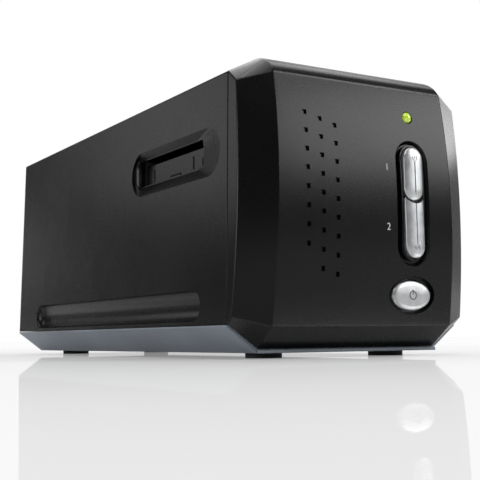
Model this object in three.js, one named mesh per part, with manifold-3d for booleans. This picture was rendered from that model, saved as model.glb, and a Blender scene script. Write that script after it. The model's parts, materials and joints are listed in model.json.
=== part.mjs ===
// Film negative scanner: a desk unit that reads a strip of film pushed through it from side to side.
// Millimetres, Z up, front towards -Y, origin on the floor under the middle of the case.
import * as THREE from 'three';
import { mergeVertices } from 'three/addons/utils/BufferGeometryUtils.js';
import Module from 'manifold-3d';

const wasm = await Module();
wasm.setup();

// Fits and overlaps that every piece shares
const seatGap = 0.3;
const runningGap = 0.06;
const cutOver = 1;
const joinOver = 0.5;
const weldDistance = 0.0001;

// Numbers of facets and of samples
const curveFacets = 20;
const smallFacets = 12;
const tinyFacets = 8;
const bigFacets = 28;
const springSides = 5;
const springStepsPerTurn = 8;
const frontSamples = 7;
const frontRings = 6;
const dishSteps = 3;
const halfTurn = Math.PI;
const quarterTurn = Math.PI / 2;
const fullTurn = Math.PI * 2;
const pairCount = 2;
const valuesPerPoint = 3;

// Case outline, seen from the front. Its sides lean in by the draft between the chamfer and the shoulder
const caseWidth = 118;
const caseDepth = 266;
const caseTop = 121.5;
const shoulderDrop = 7.2;
const shoulderRun = 14.2;
const sideDraft = 2;
const caseFloor = 2.2;
const chamferTop = 12.6;
const chamferRun = 14;
const trayRimTop = 13.2;
const trayWall = 2;
const coverWall = 2.2;
const seamSetback = 17.9;

const halfWidth = caseWidth / 2;
const frontY = -caseDepth / 2;
const rearY = caseDepth / 2;
const shoulderZ = caseTop - shoulderDrop;
const topHalfWidth = halfWidth - sideDraft - shoulderRun;
const floorHalfWidth = halfWidth - chamferRun;
const seamY = frontY + seamSetback;
const coverFront = seamY + seatGap;
const coverBottom = trayRimTop + seatGap;
const trayFloorTop = caseFloor + trayWall;

// Front bezel: a bowed face inside a bowed lip
const bezelWall = 3;
const buttonProud = 1.7;
const faceInset = 13.5;
const faceLow = 12.5;
const faceDrop = 8.5;
const faceBowRadius = 281;
const faceCrestShare = 0.53;
const lipBack = 8.3;
const lipLow = 16.4;
const lipDrop = 12.3;
const lipBowRadius = 383;
const lipCrestShare = 0.605;
const lipShare = 0.34;
const bezelBottom = 3.8;
const tongueLength = 4;
const tongueThickness = 1.3;
const apronThickness = 1.3;
const apronReach = 2.4;

const faceHalfWidth = halfWidth - faceInset;
const faceHigh = caseTop - faceDrop;
const faceCrestZ = mix(faceLow, faceHigh, faceCrestShare);
const faceCrestY = frontY + buttonProud;
const lipHigh = caseTop - lipDrop;
const lipCrestZ = mix(lipLow, lipHigh, lipCrestShare);
const lipCrestY = faceCrestY + lipBack;
const bezelMiddleZ = (bezelBottom + caseTop) / 2;

// Controls, placed from the right edge, the top and the bottom of the face
const controlsInset = 22.1;
const wellWidth = 16.2;
const wellTopDrop = 23.2;
const wellRise = 25.1;
const wellDepth = 2;
const wellSlope = 1.4;
const wellRimWidth = 0.8;
const wellRimDrop = 0.8;
const scanButtonWidth = 10;
const buttonTopMargin = 2.4;
const buttonLowMargin = 2.8;
const buttonSplitShare = 0.515;
const buttonPartGap = 1.3;
const buttonFit = 0.4;
const buttonFlange = 1.2;
const buttonFlangeThickness = 1.5;
const buttonStemRadius = 1.5;
const buttonTravel = 1;
const buttonStopGap = 0.2;
const buttonGrooveWidth = 0.8;
const buttonGrooveDepth = 0.5;
const buttonCrownRise = 0.9;
const powerWidth = 21;
const powerHeight = 12.6;
const powerRise = 12.6;
const powerWellMargin = 1.7;
const powerWellDepth = 1.8;
const powerCrownRise = 1.6;
const powerProud = 0.6;
const ledDrop = 12.2;
const ledRadius = 2.4;
const ledProud = 1.2;
const dimpleSize = 2;
const dimpleDepth = 0.7;
const dimplePitch = 7.55;
const dimpleColumnPitch = 7.2;
const dimpleColumnDrop = 2.1;
const dimpleInset = 15.2;
const dimpleTopDrop = 15.5;
const dimpleColumns = 3;
const shortColumnRise = 29.5;
const longColumnRise = 19.5;

const controlsX = faceHalfWidth - controlsInset;
const wellTop = faceHigh - wellTopDrop;
const wellBottom = faceLow + wellRise;
const wellZ = (wellTop + wellBottom) / 2;
const wellHeight = wellTop - wellBottom;
const upperButtonTop = wellTop - buttonTopMargin;
const lowerButtonBottom = wellBottom + buttonLowMargin;
const upperButtonBottom = mix(lowerButtonBottom, upperButtonTop, buttonSplitShare);
const dividerZ = upperButtonBottom + scanButtonWidth / 2;
const powerZ = faceLow + powerRise;
const ledZ = faceHigh - ledDrop;

// Boards and switches behind the bezel
const boardThickness = 1.6;
const buttonBoardSetback = 5.6;
const buttonBoardMargin = 8;
const switchSize = 6;
const switchHeight = 3.4;
const plungerRadius = 1.7;
const plungerLength = 1.4;
const standoffRadius = 2;
const buttonSpringRadius = 2.5;
const buttonSpringWire = 0.3;
const buttonSpringTurns = 4;

const boardFront = seamY + buttonBoardSetback;
const switchFront = boardFront - switchHeight - seatGap;
const plungerTip = switchFront - plungerLength;
const stemEnd = plungerTip - buttonTravel - buttonStopGap;

// Slot for the film holder and the dished pocket round it, on both sides
const slotSetback = 25;
const slotHeightShare = 0.7;
const slotLength = 61;
const slotHeight = 12;
const pocketFrontMargin = 18.9;
const pocketRearMargin = 3.9;
const pocketRise = 3.1;
const pocketDrop = 5.5;
const pocketDepth = 3;
const pocketFloorMargin = 0.6;
const pocketFloorRise = 0.4;
const pocketWall = 1.8;

const slotFront = seamY + slotSetback;
const slotY = slotFront + slotLength / 2;
const slotZ = caseTop * slotHeightShare;
const slotWallX = halfWidth - draftAt(slotZ);
const pocketLength = slotLength + pocketFrontMargin + pocketRearMargin;
const pocketHeight = slotHeight + pocketRise + pocketDrop;
const pocketY = slotY + (pocketRearMargin - pocketFrontMargin) / 2;
const pocketZ = slotZ + (pocketRise - pocketDrop) / 2;
const pocketFloorLength = slotLength + pocketFloorMargin * pairCount;
const pocketFloorHeight = slotHeight + pocketFloorRise * pairCount;
const pocketBackX = slotWallX - pocketDepth - pocketWall;

// Finger scoop low on both sides
const scoopFrontGap = 21.5;
const scoopRearGap = 30.6;
const scoopZ = 21.4;
const scoopRadius = 6.4;
const scoopDepth = 3;
const scoopWall = 1.4;
const scoopEndShare = 0.86;

const scoopFront = seamY + scoopFrontGap;
const scoopRear = rearY - scoopRearGap;
const scoopWallX = halfWidth - draftAt(scoopZ);

// Chassis plate and its posts
const chassisHeightShare = 0.28;
const chassisThickness = 1.5;
const chassisSideGap = 4.2;
const chassisFrontGap = 8.1;
const chassisRearGap = 15;
const chassisPostInset = 11;
const chassisPostFrontGap = 47;
const chassisPostRearGap = 58;
const chassisPostRadius = 3;
const chassisPostFoot = 7;
const chassisWindowInset = 5;
const chassisWindowFrontGap = 27;
const chassisWindowRearGap = 48;

const chassisBottom = caseTop * chassisHeightShare;
const chassisTop = chassisBottom + chassisThickness;
const plateTop = chassisTop + seatGap;
const chassisHalfWidth = halfWidth - chassisSideGap;
const chassisFront = seamY + chassisFrontGap;
const chassisRear = rearY - chassisRearGap;
const chassisPostX = halfWidth - chassisPostInset;
const chassisPostYs = [chassisFront + chassisPostFrontGap, chassisRear - chassisPostRearGap];

// Posts and screws that hold the cover to the tray
const coverPostInset = 18;
const coverPostFrontGap = 31.1;
const coverPostRearGap = 11;
const coverPostRadius = 3.8;
const coverPostHeadroom = 4;
const coverPostBottom = 8.8;
const coverPostWeb = 2;
const caseScrewShank = 1.5;
const caseScrewHead = 2.9;
const caseScrewHeadHeight = 2;
const caseScrewRecess = 2.8;
const caseScrewLength = 15.1;
const screwClearance = 0.35;
const screwSlotWidth = 0.8;
const screwSlotDepth = 0.8;
const trayBossRadius = 5;

const coverPostX = halfWidth - coverPostInset;
const coverPostYs = [seamY + coverPostFrontGap, rearY - coverPostRearGap];
const coverPostTop = chassisBottom - coverPostHeadroom;
const caseScrewHeadBottom = caseFloor + caseScrewRecess - seatGap - caseScrewHeadHeight;
const caseScrewReach = caseScrewHeadBottom + caseScrewHeadHeight + caseScrewLength;

// Feet
const footRadius = 7.7;
const footHeight = 2.5;
const footCrown = 0.5;
const frontFootInset = 27;
const frontFootGap = 16.1;
const rearFootInset = 32;
const rearFootGap = 11.5;
const footRecessFit = 0.4;

const frontFootX = halfWidth - frontFootInset;
const frontFootY = seamY + frontFootGap;
const rearFootX = halfWidth - rearFootInset;
const rearFootY = rearY - rearFootGap;

// Film guide between the two slots
const guideSideGap = 0.5;
const guideInset = 11.7;
const guideFloorDrop = 6.4;
const guideFloorThickness = 1.8;
const guideCheekThickness = 1.8;
const guideCheekDrop = 10;
const guideCheekRise = 6.4;
const guideRoofThickness = 1.6;
const guideLegInset = 1.7;
const guideLegWidth = 3.1;
const guideApertureMargin = 4.5;
const lightSideMargin = 0.5;

const guideHalfWidth = slotLength / 2;
const guideCheekHalfLength = pocketBackX - guideSideGap;
const guideHalfLength = guideCheekHalfLength - guideInset;
const guideFloorTop = slotZ - guideFloorDrop;
const guideCheekBottom = slotZ - guideCheekDrop;
const guideCheekTop = slotZ + guideCheekRise;
const guideRoofBottom = guideCheekTop + seatGap;
const guideLegX = guideCheekHalfLength - guideLegInset;

// Carriage that slides on two rods, with the optics in it
const scanLineSetback = 16.6;
const carriageTravel = 30;
const carriageInset = 37;
const carriageNose = 10;
const carriageRearRoom = 30;
const carriageFloorGap = 2.5;
const carriageHeadroom = 5;
const carriageWall = 2;
const spineGap = 6.8;
const spineThickness = 6;
const lampGap = 3.1;
const armThickness = 3;
const armSetback = 2;
const lightSlotWidth = 6;
const lightInset = 3;
const lampHeight = 5.7;
const ribHeight = 4;

const scanLineY = slotFront + scanLineSetback;
const carriageHalfWidth = halfWidth - carriageInset;
const carriageFront = scanLineY - carriageNose;
const carriageRear = chassisRear - carriageTravel - carriageRearRoom;
const carriageBottom = chassisTop + carriageFloorGap;
const carriageTop = guideFloorTop - guideFloorThickness - carriageHeadroom;
const spineFront = slotY + guideHalfWidth + guideCheekThickness + spineGap;
const lampBottom = guideRoofBottom + guideRoofThickness + lampGap;
const armBottom = lampBottom + lampHeight + seatGap;
const armFront = carriageFront + armSetback;
const lightHalfWidth = carriageHalfWidth - lightInset;
const guideApertureHalfWidth = lightHalfWidth + lightSideMargin;
const guideApertureFront = scanLineY - guideApertureMargin;
const guideApertureRear = scanLineY + carriageTravel + guideApertureMargin;
const chassisWindowHalfWidth = carriageHalfWidth - chassisWindowInset;
const chassisWindowFront = chassisFront + chassisWindowFrontGap;
const chassisWindowRear = chassisRear - chassisWindowRearGap;

// Guide rods, their tabs and the bushes
const rodSpread = 5.6;
const rodRise = 8.5;
const rodRadius = 3;
const rodEndGap = 0.5;
const rodRearGap = 15;
const rodTabWidth = 13;
const rodTabFrontGap = 2.4;
const rodTabRearGap = 18;
const rodTabRise = 6;
const bushRadius = 4.6;
const bushLength = 9;
const bushInset = 16;
const earMargin = 1.8;

const rodX = carriageHalfWidth + rodSpread;
const rodZ = chassisTop + rodRise;
const rodFront = chassisFront + rodEndGap;
const rodRear = chassisRear - rodRearGap;
const rodTabFrontY = chassisFront + rodTabFrontGap;
const rodTabRearY = chassisRear - rodTabRearGap;
const rodTabTop = rodZ + rodTabRise;

// Optics
const lampWidth = 14;
const lampWall = 1.6;
const diffuserThickness = 1;
const mirrorThickness = 1.6;
const barrelRadius = 9;
const barrelLength = 30;
const barrelStepRadius = 7;
const barrelStepLength = 8;
const barrelBore = 4.6;
const barrelPlaceShare = 0.645;
const barrelWallThickness = 4;
const lensRadius = 5.8;
const lensRise = 1.4;
const lensEdge = 0.8;
const sensorSetback = 10;
const sensorBoardInset = 5;
const sensorBoardMargin = 4;
const sensorChipInset = 2;
const sensorChipHeight = 7;
const sensorChipThickness = 2;
const sensorPostRadius = 1.8;

const opticZ = (carriageBottom + carriageTop) / 2;
const mirrorRoom = carriageNose - carriageWall - seatGap;
const mirrorLength = mirrorRoom * Math.SQRT2 * pairCount - mirrorThickness;
const sensorBoardY = carriageRear - sensorSetback;
const barrelMiddleY = mix(scanLineY, sensorBoardY, barrelPlaceShare);
const barrelFront = barrelMiddleY - barrelLength / 2;
const barrelRear = barrelMiddleY + barrelLength / 2;
const barrelWallY = barrelMiddleY - barrelWallThickness / 2;
const sensorBoardHalfWidth = carriageHalfWidth - sensorBoardInset;
const sensorBoardHeight = carriageTop - carriageBottom - sensorBoardMargin * pairCount;
const sensorChipLength = (sensorBoardHalfWidth - sensorChipInset) * pairCount;

// Drive: motor, gear with its pulley, belt, idler
const driveInset = 17.2;
const driveRearGap = 34;
const gearModule = 0.6;
const driveTeeth = 36;
const pinionTeeth = 14;
const pressureDegrees = 20;
const addendumShare = 0.85;
const dedendumShare = 1.2;
const flankBacklash = 0.12;
const flankSteps = 2;
const gearRise = 1.5;
const gearThickness = 5;
const pulleyRadius = 6;
const pulleyFlange = 1.6;
const pulleyFlangeThickness = 0.8;
const beltRise = 6.4;
const beltHeight = 5.4;
const beltThickness = 1;
const studRadius = 2;
const studCollarRadius = 3.6;
const studCollarHeight = 1;
const studEndRise = 3.2;
const idlerFrontGap = 13;
const bracketHalfWidth = 6.3;
const bracketThickness = 1.5;
const bracketFrontReach = 7.5;
const bracketRearReach = 9;
const bracketTabRise = 6.5;
const lugReach = 28;
const lugHalfWidth = 5;
const lugRise = 7.5;
const tensionSpringRadius = 2.2;
const tensionSpringWire = 0.35;
const tensionSpringTurns = 6;
const motorRadius = 11;
const motorHeight = 19.5;
const motorEarReach = 17;
const motorEarHalfWidth = 4;
const motorEarThickness = 1;
const motorShaftRadius = 1.5;
const motorShaftHole = 3.5;
const clampPlaceShare = 0.366;
const clampLength = 10;
const clampJaw = 1.3;
const clampBridgeRise = 1.6;
const clampBridgeThickness = 2.4;

const driveX = halfWidth - driveInset;
const driveY = chassisRear - driveRearGap;
const pressureAngle = THREE.MathUtils.degToRad(pressureDegrees);
const gearRadius = gearModule * driveTeeth / 2;
const pinionRadius = gearModule * pinionTeeth / 2;
const motorY = driveY + gearRadius + pinionRadius;
const gearBottom = chassisTop + gearRise;
const beltBottom = gearBottom + beltRise;
const beltTop = beltBottom + beltHeight;
const beltInnerRadius = pulleyRadius + seatGap;
const beltPitchRadius = beltInnerRadius + beltThickness / 2;
const pulleyBottom = beltBottom - seatGap;
const pulleyTop = beltTop + seatGap;
const studTop = beltTop + studEndRise;
const idlerY = chassisFront + idlerFrontGap;
const bracketFront = idlerY - bracketFrontReach;
const bracketRear = idlerY + bracketRearReach;
const bracketTabTop = plateTop + bracketTabRise;
const lugY = idlerY + lugReach;
const lugTop = chassisTop + lugRise;
const clampY = mix(carriageFront, carriageRear, clampPlaceShare);
const clampBridgeBottom = beltTop + clampBridgeRise;

// Dust doors behind the slots
const doorPinInset = 2;
const doorPinDrop = 5.4;
const doorPinRadius = 0.8;
const doorBarrelRadius = 1.6;
const doorHeight = 9.2;
const doorThickness = 1.4;
const doorFoot = 0.3;
const doorFaceStep = 0.05;
const doorSideGap = 0.5;
const doorRibShares = [-0.544, 0.697];
const doorRibWidth = 0.8;
const doorRibFoot = 0.9;
const doorRibHeight = 5.8;
const doorRibRise = 0.35;
const doorSpringLength = 8;
const doorSpringRadius = 1.9;
const doorSpringWire = 0.25;
const doorSpringTurns = 5;

const doorPinX = guideCheekHalfLength - doorPinInset;
const doorPinZ = slotZ - doorPinDrop;

// Main board, its chips and cans as shares of the board, and the sockets in the rear panel
const mainBoardZ = 15;
const mainBoardLeftInset = 25;
const mainBoardRightInset = 32;
const mainBoardLength = 102;
const mainBoardRearGap = 7;
const mainBoardPostRadius = 2.2;
const mainBoardPostInset = 5;
const mainBoardPostRearInset = 15;
const chipHeight = 1.6;
const chipShares = [
  { x: 0.36, y: 0.37, width: 0.26, depth: 0.16 },
  { x: 0.75, y: 0.26, width: 0.16, depth: 0.12 },
  { x: 0.23, y: 0.65, width: 0.13, depth: 0.06 },
];
const capacitorRadius = 3.2;
const capacitorHeight = 9;
const capacitorShares = [{ x: 0.85, y: 0.57 }, { x: 0.85, y: 0.67 }];
const rearOpeningLeftInset = 21;
const rearOpeningRightInset = 29;
const rearOpeningTop = 40;
const rearPanelInset = 0.4;
const usbPlaceShare = 0.294;
const usbWidth = 12;
const usbHeight = 11;
const usbLength = 16;
const usbWall = 1.8;
const usbMouthDepth = 9;
const usbTongueWidth = 5.6;
const usbTongueHeight = 3.2;
const powerJackPlaceShare = 0.676;
const powerJackWidth = 9;
const powerJackHeight = 11;
const powerJackLength = 14;
const powerJackBore = 3.2;
const powerJackPin = 1;
const powerJackDepth = 9;
const socketInset = 0.6;

const mainBoardLeft = -halfWidth + mainBoardLeftInset;
const mainBoardRight = halfWidth - mainBoardRightInset;
const mainBoardRear = rearY - mainBoardRearGap;
const mainBoardFront = mainBoardRear - mainBoardLength;
const rearOpeningLeft = -halfWidth + rearOpeningLeftInset;
const rearOpeningRight = halfWidth - rearOpeningRightInset;
const usbX = mix(rearOpeningLeft, rearOpeningRight, usbPlaceShare);
const powerJackX = mix(rearOpeningLeft, rearOpeningRight, powerJackPlaceShare);

// Ribbon cable from the button board to the main board
const ribbonThickness = 0.8;
const ribbonHalfWidth = 7;
const ribbonInset = 13;
const ribbonFloorGap = 0.6;
const ribbonTopDrop = 10;

const ribbonX = mainBoardRight - ribbonInset;
const ribbonFloorZ = trayFloorTop + ribbonFloorGap + ribbonThickness / 2;
const ribbonTopZ = chassisBottom - ribbonTopDrop;

// Looks of the pieces
const looks = {
  casing: { color: 0x1b1c1e, roughness: 0.38, metalness: 0 },
  tray: { color: 0x767b84, roughness: 0.5, metalness: 0 },
  silver: { color: 0xb9bcc0, roughness: 0.3, metalness: 0.6 },
  rubber: { color: 0x2b2b2b, roughness: 0.85, metalness: 0 },
  steel: { color: 0xa9adb1, roughness: 0.35, metalness: 0.9 },
  darkPlastic: { color: 0x2a2b2d, roughness: 0.6, metalness: 0 },
  whitePlastic: { color: 0xd8d8d2, roughness: 0.5, metalness: 0 },
  bronze: { color: 0xa77b45, roughness: 0.45, metalness: 0.8 },
  board: { color: 0x1e5a35, roughness: 0.55, metalness: 0 },
  lamp: { color: 0xe8f07a, roughness: 0.2, metalness: 0 },
  glass: { color: 0xcfe3ea, roughness: 0.05, metalness: 0 },
  belt: { color: 0x222222, roughness: 0.8, metalness: 0 },
};

const directions = {
  x: new THREE.Vector3(1, 0, 0),
  y: new THREE.Vector3(0, 1, 0),
  z: new THREE.Vector3(0, 0, 1),
};

// Solids from triangles, and back again
function solidOf(geometry) {
  const bare = new THREE.BufferGeometry();
  bare.setAttribute('position', geometry.getAttribute('position').clone());
  if (geometry.index) bare.setIndex(geometry.index.clone());
  const merged = mergeVertices(bare, weldDistance);
  const index = merged.index.array;
  const kept = [];
  for (let i = 0; i < index.length; i += valuesPerPoint) {
    const [a, b, c] = index.slice(i, i + valuesPerPoint);
    if (a !== b && b !== c && c !== a) kept.push(a, b, c);
  }
  const vertProperties = new Float32Array(merged.getAttribute('position').array);
  const mesh = new wasm.Mesh({ numProp: valuesPerPoint, vertProperties, triVerts: new Uint32Array(kept) });
  return new wasm.Manifold(mesh);
}

function geometryOf(solid) {
  const mesh = solid.getMesh();
  const geometry = new THREE.BufferGeometry();
  const points = new Float32Array(mesh.vertProperties);
  geometry.setAttribute('position', new THREE.BufferAttribute(points, valuesPerPoint));
  geometry.setIndex(Array.from(mesh.triVerts));
  geometry.computeVertexNormals();
  return geometry;
}

function joined(...solids) {
  return solids.reduce((sum, next) => sum.add(next));
}

function cut(solid, ...cutters) {
  return cutters.reduce((left, next) => left.subtract(next), solid);
}

// Outlines in a plane, as lists of points
function rectangle(lowA, lowB, highA, highB) {
  return [[lowA, lowB], [highA, lowB], [highA, highB], [lowA, highB]];
}

function circle(middleA, middleB, radius, facets = curveFacets) {
  return Array.from({ length: facets }, (unused, i) => {
    const angle = (i + 1 / 2) * fullTurn / facets;
    return [middleA + radius * Math.cos(angle), middleB + radius * Math.sin(angle)];
  });
}

// A run of straight sides with a half circle at each end, along the first or the second direction
function stadium(middleA, middleB, length, width, lengthwise = 'first', facets = curveFacets) {
  const radius = width / 2;
  const straight = (length - width) / 2;
  const points = [];
  for (let i = 0; i <= facets / 2; i += 1) {
    const angle = -quarterTurn + i * fullTurn / facets;
    points.push([straight + radius * Math.cos(angle), radius * Math.sin(angle)]);
  }
  const turned = points.map(([a, b]) => [-a, -b]);
  return [...points, ...turned].map(([a, b]) => (
    lengthwise === 'first' ? [middleA + a, middleB + b] : [middleA - b, middleB + a]
  ));
}

function ellipse(middleA, middleB, halfA, halfB, facets = bigFacets) {
  return Array.from({ length: facets }, (unused, i) => {
    const angle = (i + 1 / 2) * fullTurn / facets;
    return [middleA + halfA * Math.cos(angle), middleB + halfB * Math.sin(angle)];
  });
}

// Moves each side of a convex outline in by a distance, or out where it is negative
function inset(points, distance) {
  const area = points.reduce((sum, [a, b], i) => {
    const [nextA, nextB] = points[(i + 1) % points.length];
    return sum + a * nextB - nextA * b;
  }, 0);
  const sign = Math.sign(area);
  const sides = points.map(([a, b], i) => {
    const [nextA, nextB] = points[(i + 1) % points.length];
    const length = Math.hypot(nextA - a, nextB - b);
    const normalA = -(nextB - b) / length * sign;
    const normalB = (nextA - a) / length * sign;
    return { normalA, normalB, level: normalA * a + normalB * b + distance };
  });
  return sides.map((side, i) => {
    const before = sides[(i + sides.length - 1) % sides.length];
    const det = before.normalA * side.normalB - side.normalA * before.normalB;
    const a = (before.level * side.normalB - side.level * before.normalB) / det;
    const b = (before.normalA * side.level - side.normalA * before.level) / det;
    return [a, b];
  });
}

// Places an outline at a level along X, Y or Z: its two directions are Y and Z, X and Z, or X and Y
function placed([a, b], axis, level) {
  if (axis === 'x') return new THREE.Vector3(level, a, b);
  if (axis === 'y') return new THREE.Vector3(a, level, b);
  return new THREE.Vector3(a, b, level);
}

function prism(points, axis, from, to) {
  const shape = new THREE.Shape(points.map(([a, b]) => new THREE.Vector2(a, b)));
  const geometry = new THREE.ExtrudeGeometry(shape, { depth: to - from, bevelEnabled: false });
  const turn = new THREE.Matrix4();
  if (axis === 'x') turn.makeBasis(directions.y, directions.z, directions.x);
  if (axis === 'y') turn.makeBasis(directions.x, directions.z, directions.y.clone().negate());
  geometry.applyMatrix4(turn);
  const start = axis === 'y' ? to : from;
  geometry.translate(...directions[axis].clone().multiplyScalar(start).toArray());
  return solidOf(geometry);
}

function box(lowX, highX, lowY, highY, lowZ, highZ) {
  return prism(rectangle(lowX, lowY, highX, highY), 'z', lowZ, highZ);
}

function rod(axis, middleA, middleB, radius, from, to, facets = curveFacets) {
  return prism(circle(middleA, middleB, radius, facets), axis, from, to);
}

// The radius whose flats clear a round piece by the given play
function boreRadius(radius, play, facets = curveFacets) {
  return (radius + play) / Math.cos(halfTurn / facets);
}

// A closed skin through rings of equal counts, each ring listed up one side and down the other
function loft(rings) {
  const count = rings[0].length;
  const index = [];
  for (let k = 0; k + 1 < rings.length; k += 1) {
    for (let i = 0; i < count; i += 1) {
      const next = (i + 1) % count;
      const low = k * count;
      const high = low + count;
      index.push(low + i, low + next, high + next);
      index.push(low + i, high + next, high + i);
    }
  }
  const capRows = (offset, flip) => {
    for (let i = 0, j = count - 1; i + 1 <= j; i += 1, j -= 1) {
      const rows = [[i, i + 1, j], [i + 1, j - 1, j]];
      for (const [a, b, c] of rows) {
        if (a === b || b === c || b > c) continue;
        index.push(...(flip ? [c, b, a] : [a, b, c]).map((v) => v + offset));
      }
    }
  };
  capRows(0, true);
  capRows((rings.length - 1) * count, false);
  const geometry = new THREE.BufferGeometry().setFromPoints(rings.flat());
  geometry.setIndex(index);
  const solid = solidOf(geometry);
  if (solid.volume() > 0) return solid;
  for (let i = 0; i < index.length; i += valuesPerPoint) {
    [index[i], index[i + 1]] = [index[i + 1], index[i]];
  }
  geometry.setIndex(index);
  return solidOf(geometry);
}

// A solid through outlines of equal counts at rising levels
function tower(axis, floors) {
  return loft(floors.map(({ points, level }) => points.map((point) => placed(point, axis, level))));
}

// Round wire wound along a line
function coil(axis, middleA, middleB, radius, wire, from, to, turns) {
  const steps = turns * springStepsPerTurn;
  const points = Array.from({ length: steps + 1 }, (unused, i) => {
    const angle = i * turns * fullTurn / steps;
    const along = from + wire + (to - from - wire * pairCount) * i / steps;
    const around = [middleA + radius * Math.cos(angle), middleB + radius * Math.sin(angle)];
    return placed(around, axis, along);
  });
  const path = new THREE.CatmullRomCurve3(points);
  const section = new THREE.Shape(
    circle(0, 0, wire, springSides).map(([a, b]) => new THREE.Vector2(a, b)),
  );
  return new THREE.ExtrudeGeometry(section, { steps, extrudePath: path, bevelEnabled: false });
}

// Outline of the whole case from the front, moved in by a distance
function caseOutline(distance) {
  return inset([
    [-floorHalfWidth, caseFloor],
    [floorHalfWidth, caseFloor],
    [halfWidth, chamferTop],
    [halfWidth - sideDraft, shoulderZ],
    [topHalfWidth, caseTop],
    [-topHalfWidth, caseTop],
    [-halfWidth + sideDraft, shoulderZ],
    [-halfWidth, chamferTop],
  ], distance);
}

// How far the sides have leaned in at a height
function draftAt(z) {
  return sideDraft * (z - chamferTop) / (shoulderZ - chamferTop);
}

// The two bows of the front, as Y at a height
function bowY(crestY, radius, crestZ, z) {
  return crestY + radius - Math.sqrt(radius * radius - (z - crestZ) * (z - crestZ));
}

function faceY(z) {
  return bowY(faceCrestY, faceBowRadius, faceCrestZ, z);
}

function lipY(z) {
  return bowY(lipCrestY, lipBowRadius, lipCrestZ, z);
}

function mix(a, b, share) {
  return a + (b - a) * share;
}

// The bezel's inside is its outside drawn in towards the middle of its height
function drawnIn(wall) {
  return 1 - wall / (bezelMiddleZ - bezelBottom);
}

function innerFaceY(z) {
  return faceY(bezelMiddleZ + (z - bezelMiddleZ) / drawnIn(bezelWall)) + bezelWall;
}

// One ring of the bezel's skin: share 0 lies at the seam, 1 bounds the front face
function bezelRing(share, wall, seam) {
  const outer = Math.max(0, (share - lipShare) / (1 - lipShare));
  const inner = Math.min(1, share / lipShare);
  const low = share < lipShare ? mix(coverBottom, lipLow, inner) : mix(lipLow, faceLow, outer);
  const high = share < lipShare ? mix(shoulderZ, lipHigh, inner) : mix(lipHigh, faceHigh, outer);
  const roll = quarterTurn * (1 - share);
  const topY = mix(faceY(faceHigh), seam, 1 - Math.cos(roll));
  const topZ = mix(faceHigh, caseTop, Math.sin(roll));
  const bottomY = mix(seam, faceY(faceLow), share);
  const bottomZ = mix(bezelBottom, faceLow, share);
  const endX = mix(floorHalfWidth, faceHalfWidth, share);
  const left = [[endX, bottomY, bottomZ]];
  for (let j = 0; j <= frontSamples; j += 1) {
    const z = mix(low, high, j / frontSamples);
    const sideX = mix(halfWidth, faceHalfWidth, outer) - draftAt(z);
    const sideY = mix(mix(seam, lipY(z), inner), faceY(z), outer);
    left.push([sideX, sideY, z]);
  }
  left.push([mix(topHalfWidth, faceHalfWidth - draftAt(faceHigh), share), topY, topZ]);
  const shrink = drawnIn(wall);
  const moved = left.map(([x, y, z]) => [x - wall, y + wall, bezelMiddleZ + (z - bezelMiddleZ) * shrink]);
  const mirrored = moved.map(([x, y, z]) => new THREE.Vector3(-x, y, z));
  return [...mirrored, ...moved.reverse().map((point) => new THREE.Vector3(...point))];
}

function bezelBody(wall, seam) {
  const rings = [];
  for (let k = 0; k < frontRings; k += 1) {
    const share = k === 0 ? 0 : mix(lipShare, 1, (k - 1) / (frontRings - 2));
    rings.push(bezelRing(share, wall, seam));
  }
  return loft(rings);
}

// The concave upper end of the lower button follows the upper button's round end
function lowerButtonOutline(growth) {
  const width = scanButtonWidth + growth * pairCount;
  const length = dividerZ - lowerButtonBottom + growth * pairCount;
  return stadium(controlsX, (dividerZ + lowerButtonBottom) / 2, length, width, 'second');
}

function upperButtonOutline(growth) {
  const middle = (upperButtonTop + upperButtonBottom) / 2;
  const length = upperButtonTop - upperButtonBottom + growth * pairCount;
  return stadium(controlsX, middle, length, scanButtonWidth + growth * pairCount, 'second');
}

function dividerCut(growth) {
  const radius = scanButtonWidth / 2 + buttonPartGap - growth;
  return rod('y', controlsX, dividerZ, radius, -caseDepth, 0, bigFacets);
}

function dimpleCutters() {
  const cutters = [];
  const half = dimpleSize / 2;
  for (let column = 0; column < dimpleColumns; column += 1) {
    const x = -faceHalfWidth + dimpleInset + column * dimpleColumnPitch;
    const top = faceHigh - dimpleTopDrop - column * dimpleColumnDrop;
    const low = faceLow + (column === 0 ? shortColumnRise : longColumnRise);
    for (let z = top; z >= low; z -= dimplePitch) {
      const deep = faceY(z) + dimpleDepth;
      cutters.push(box(x - half, x + half, faceCrestY - cutOver, deep, z - half, z + half));
    }
  }
  return joined(...cutters);
}

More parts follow.
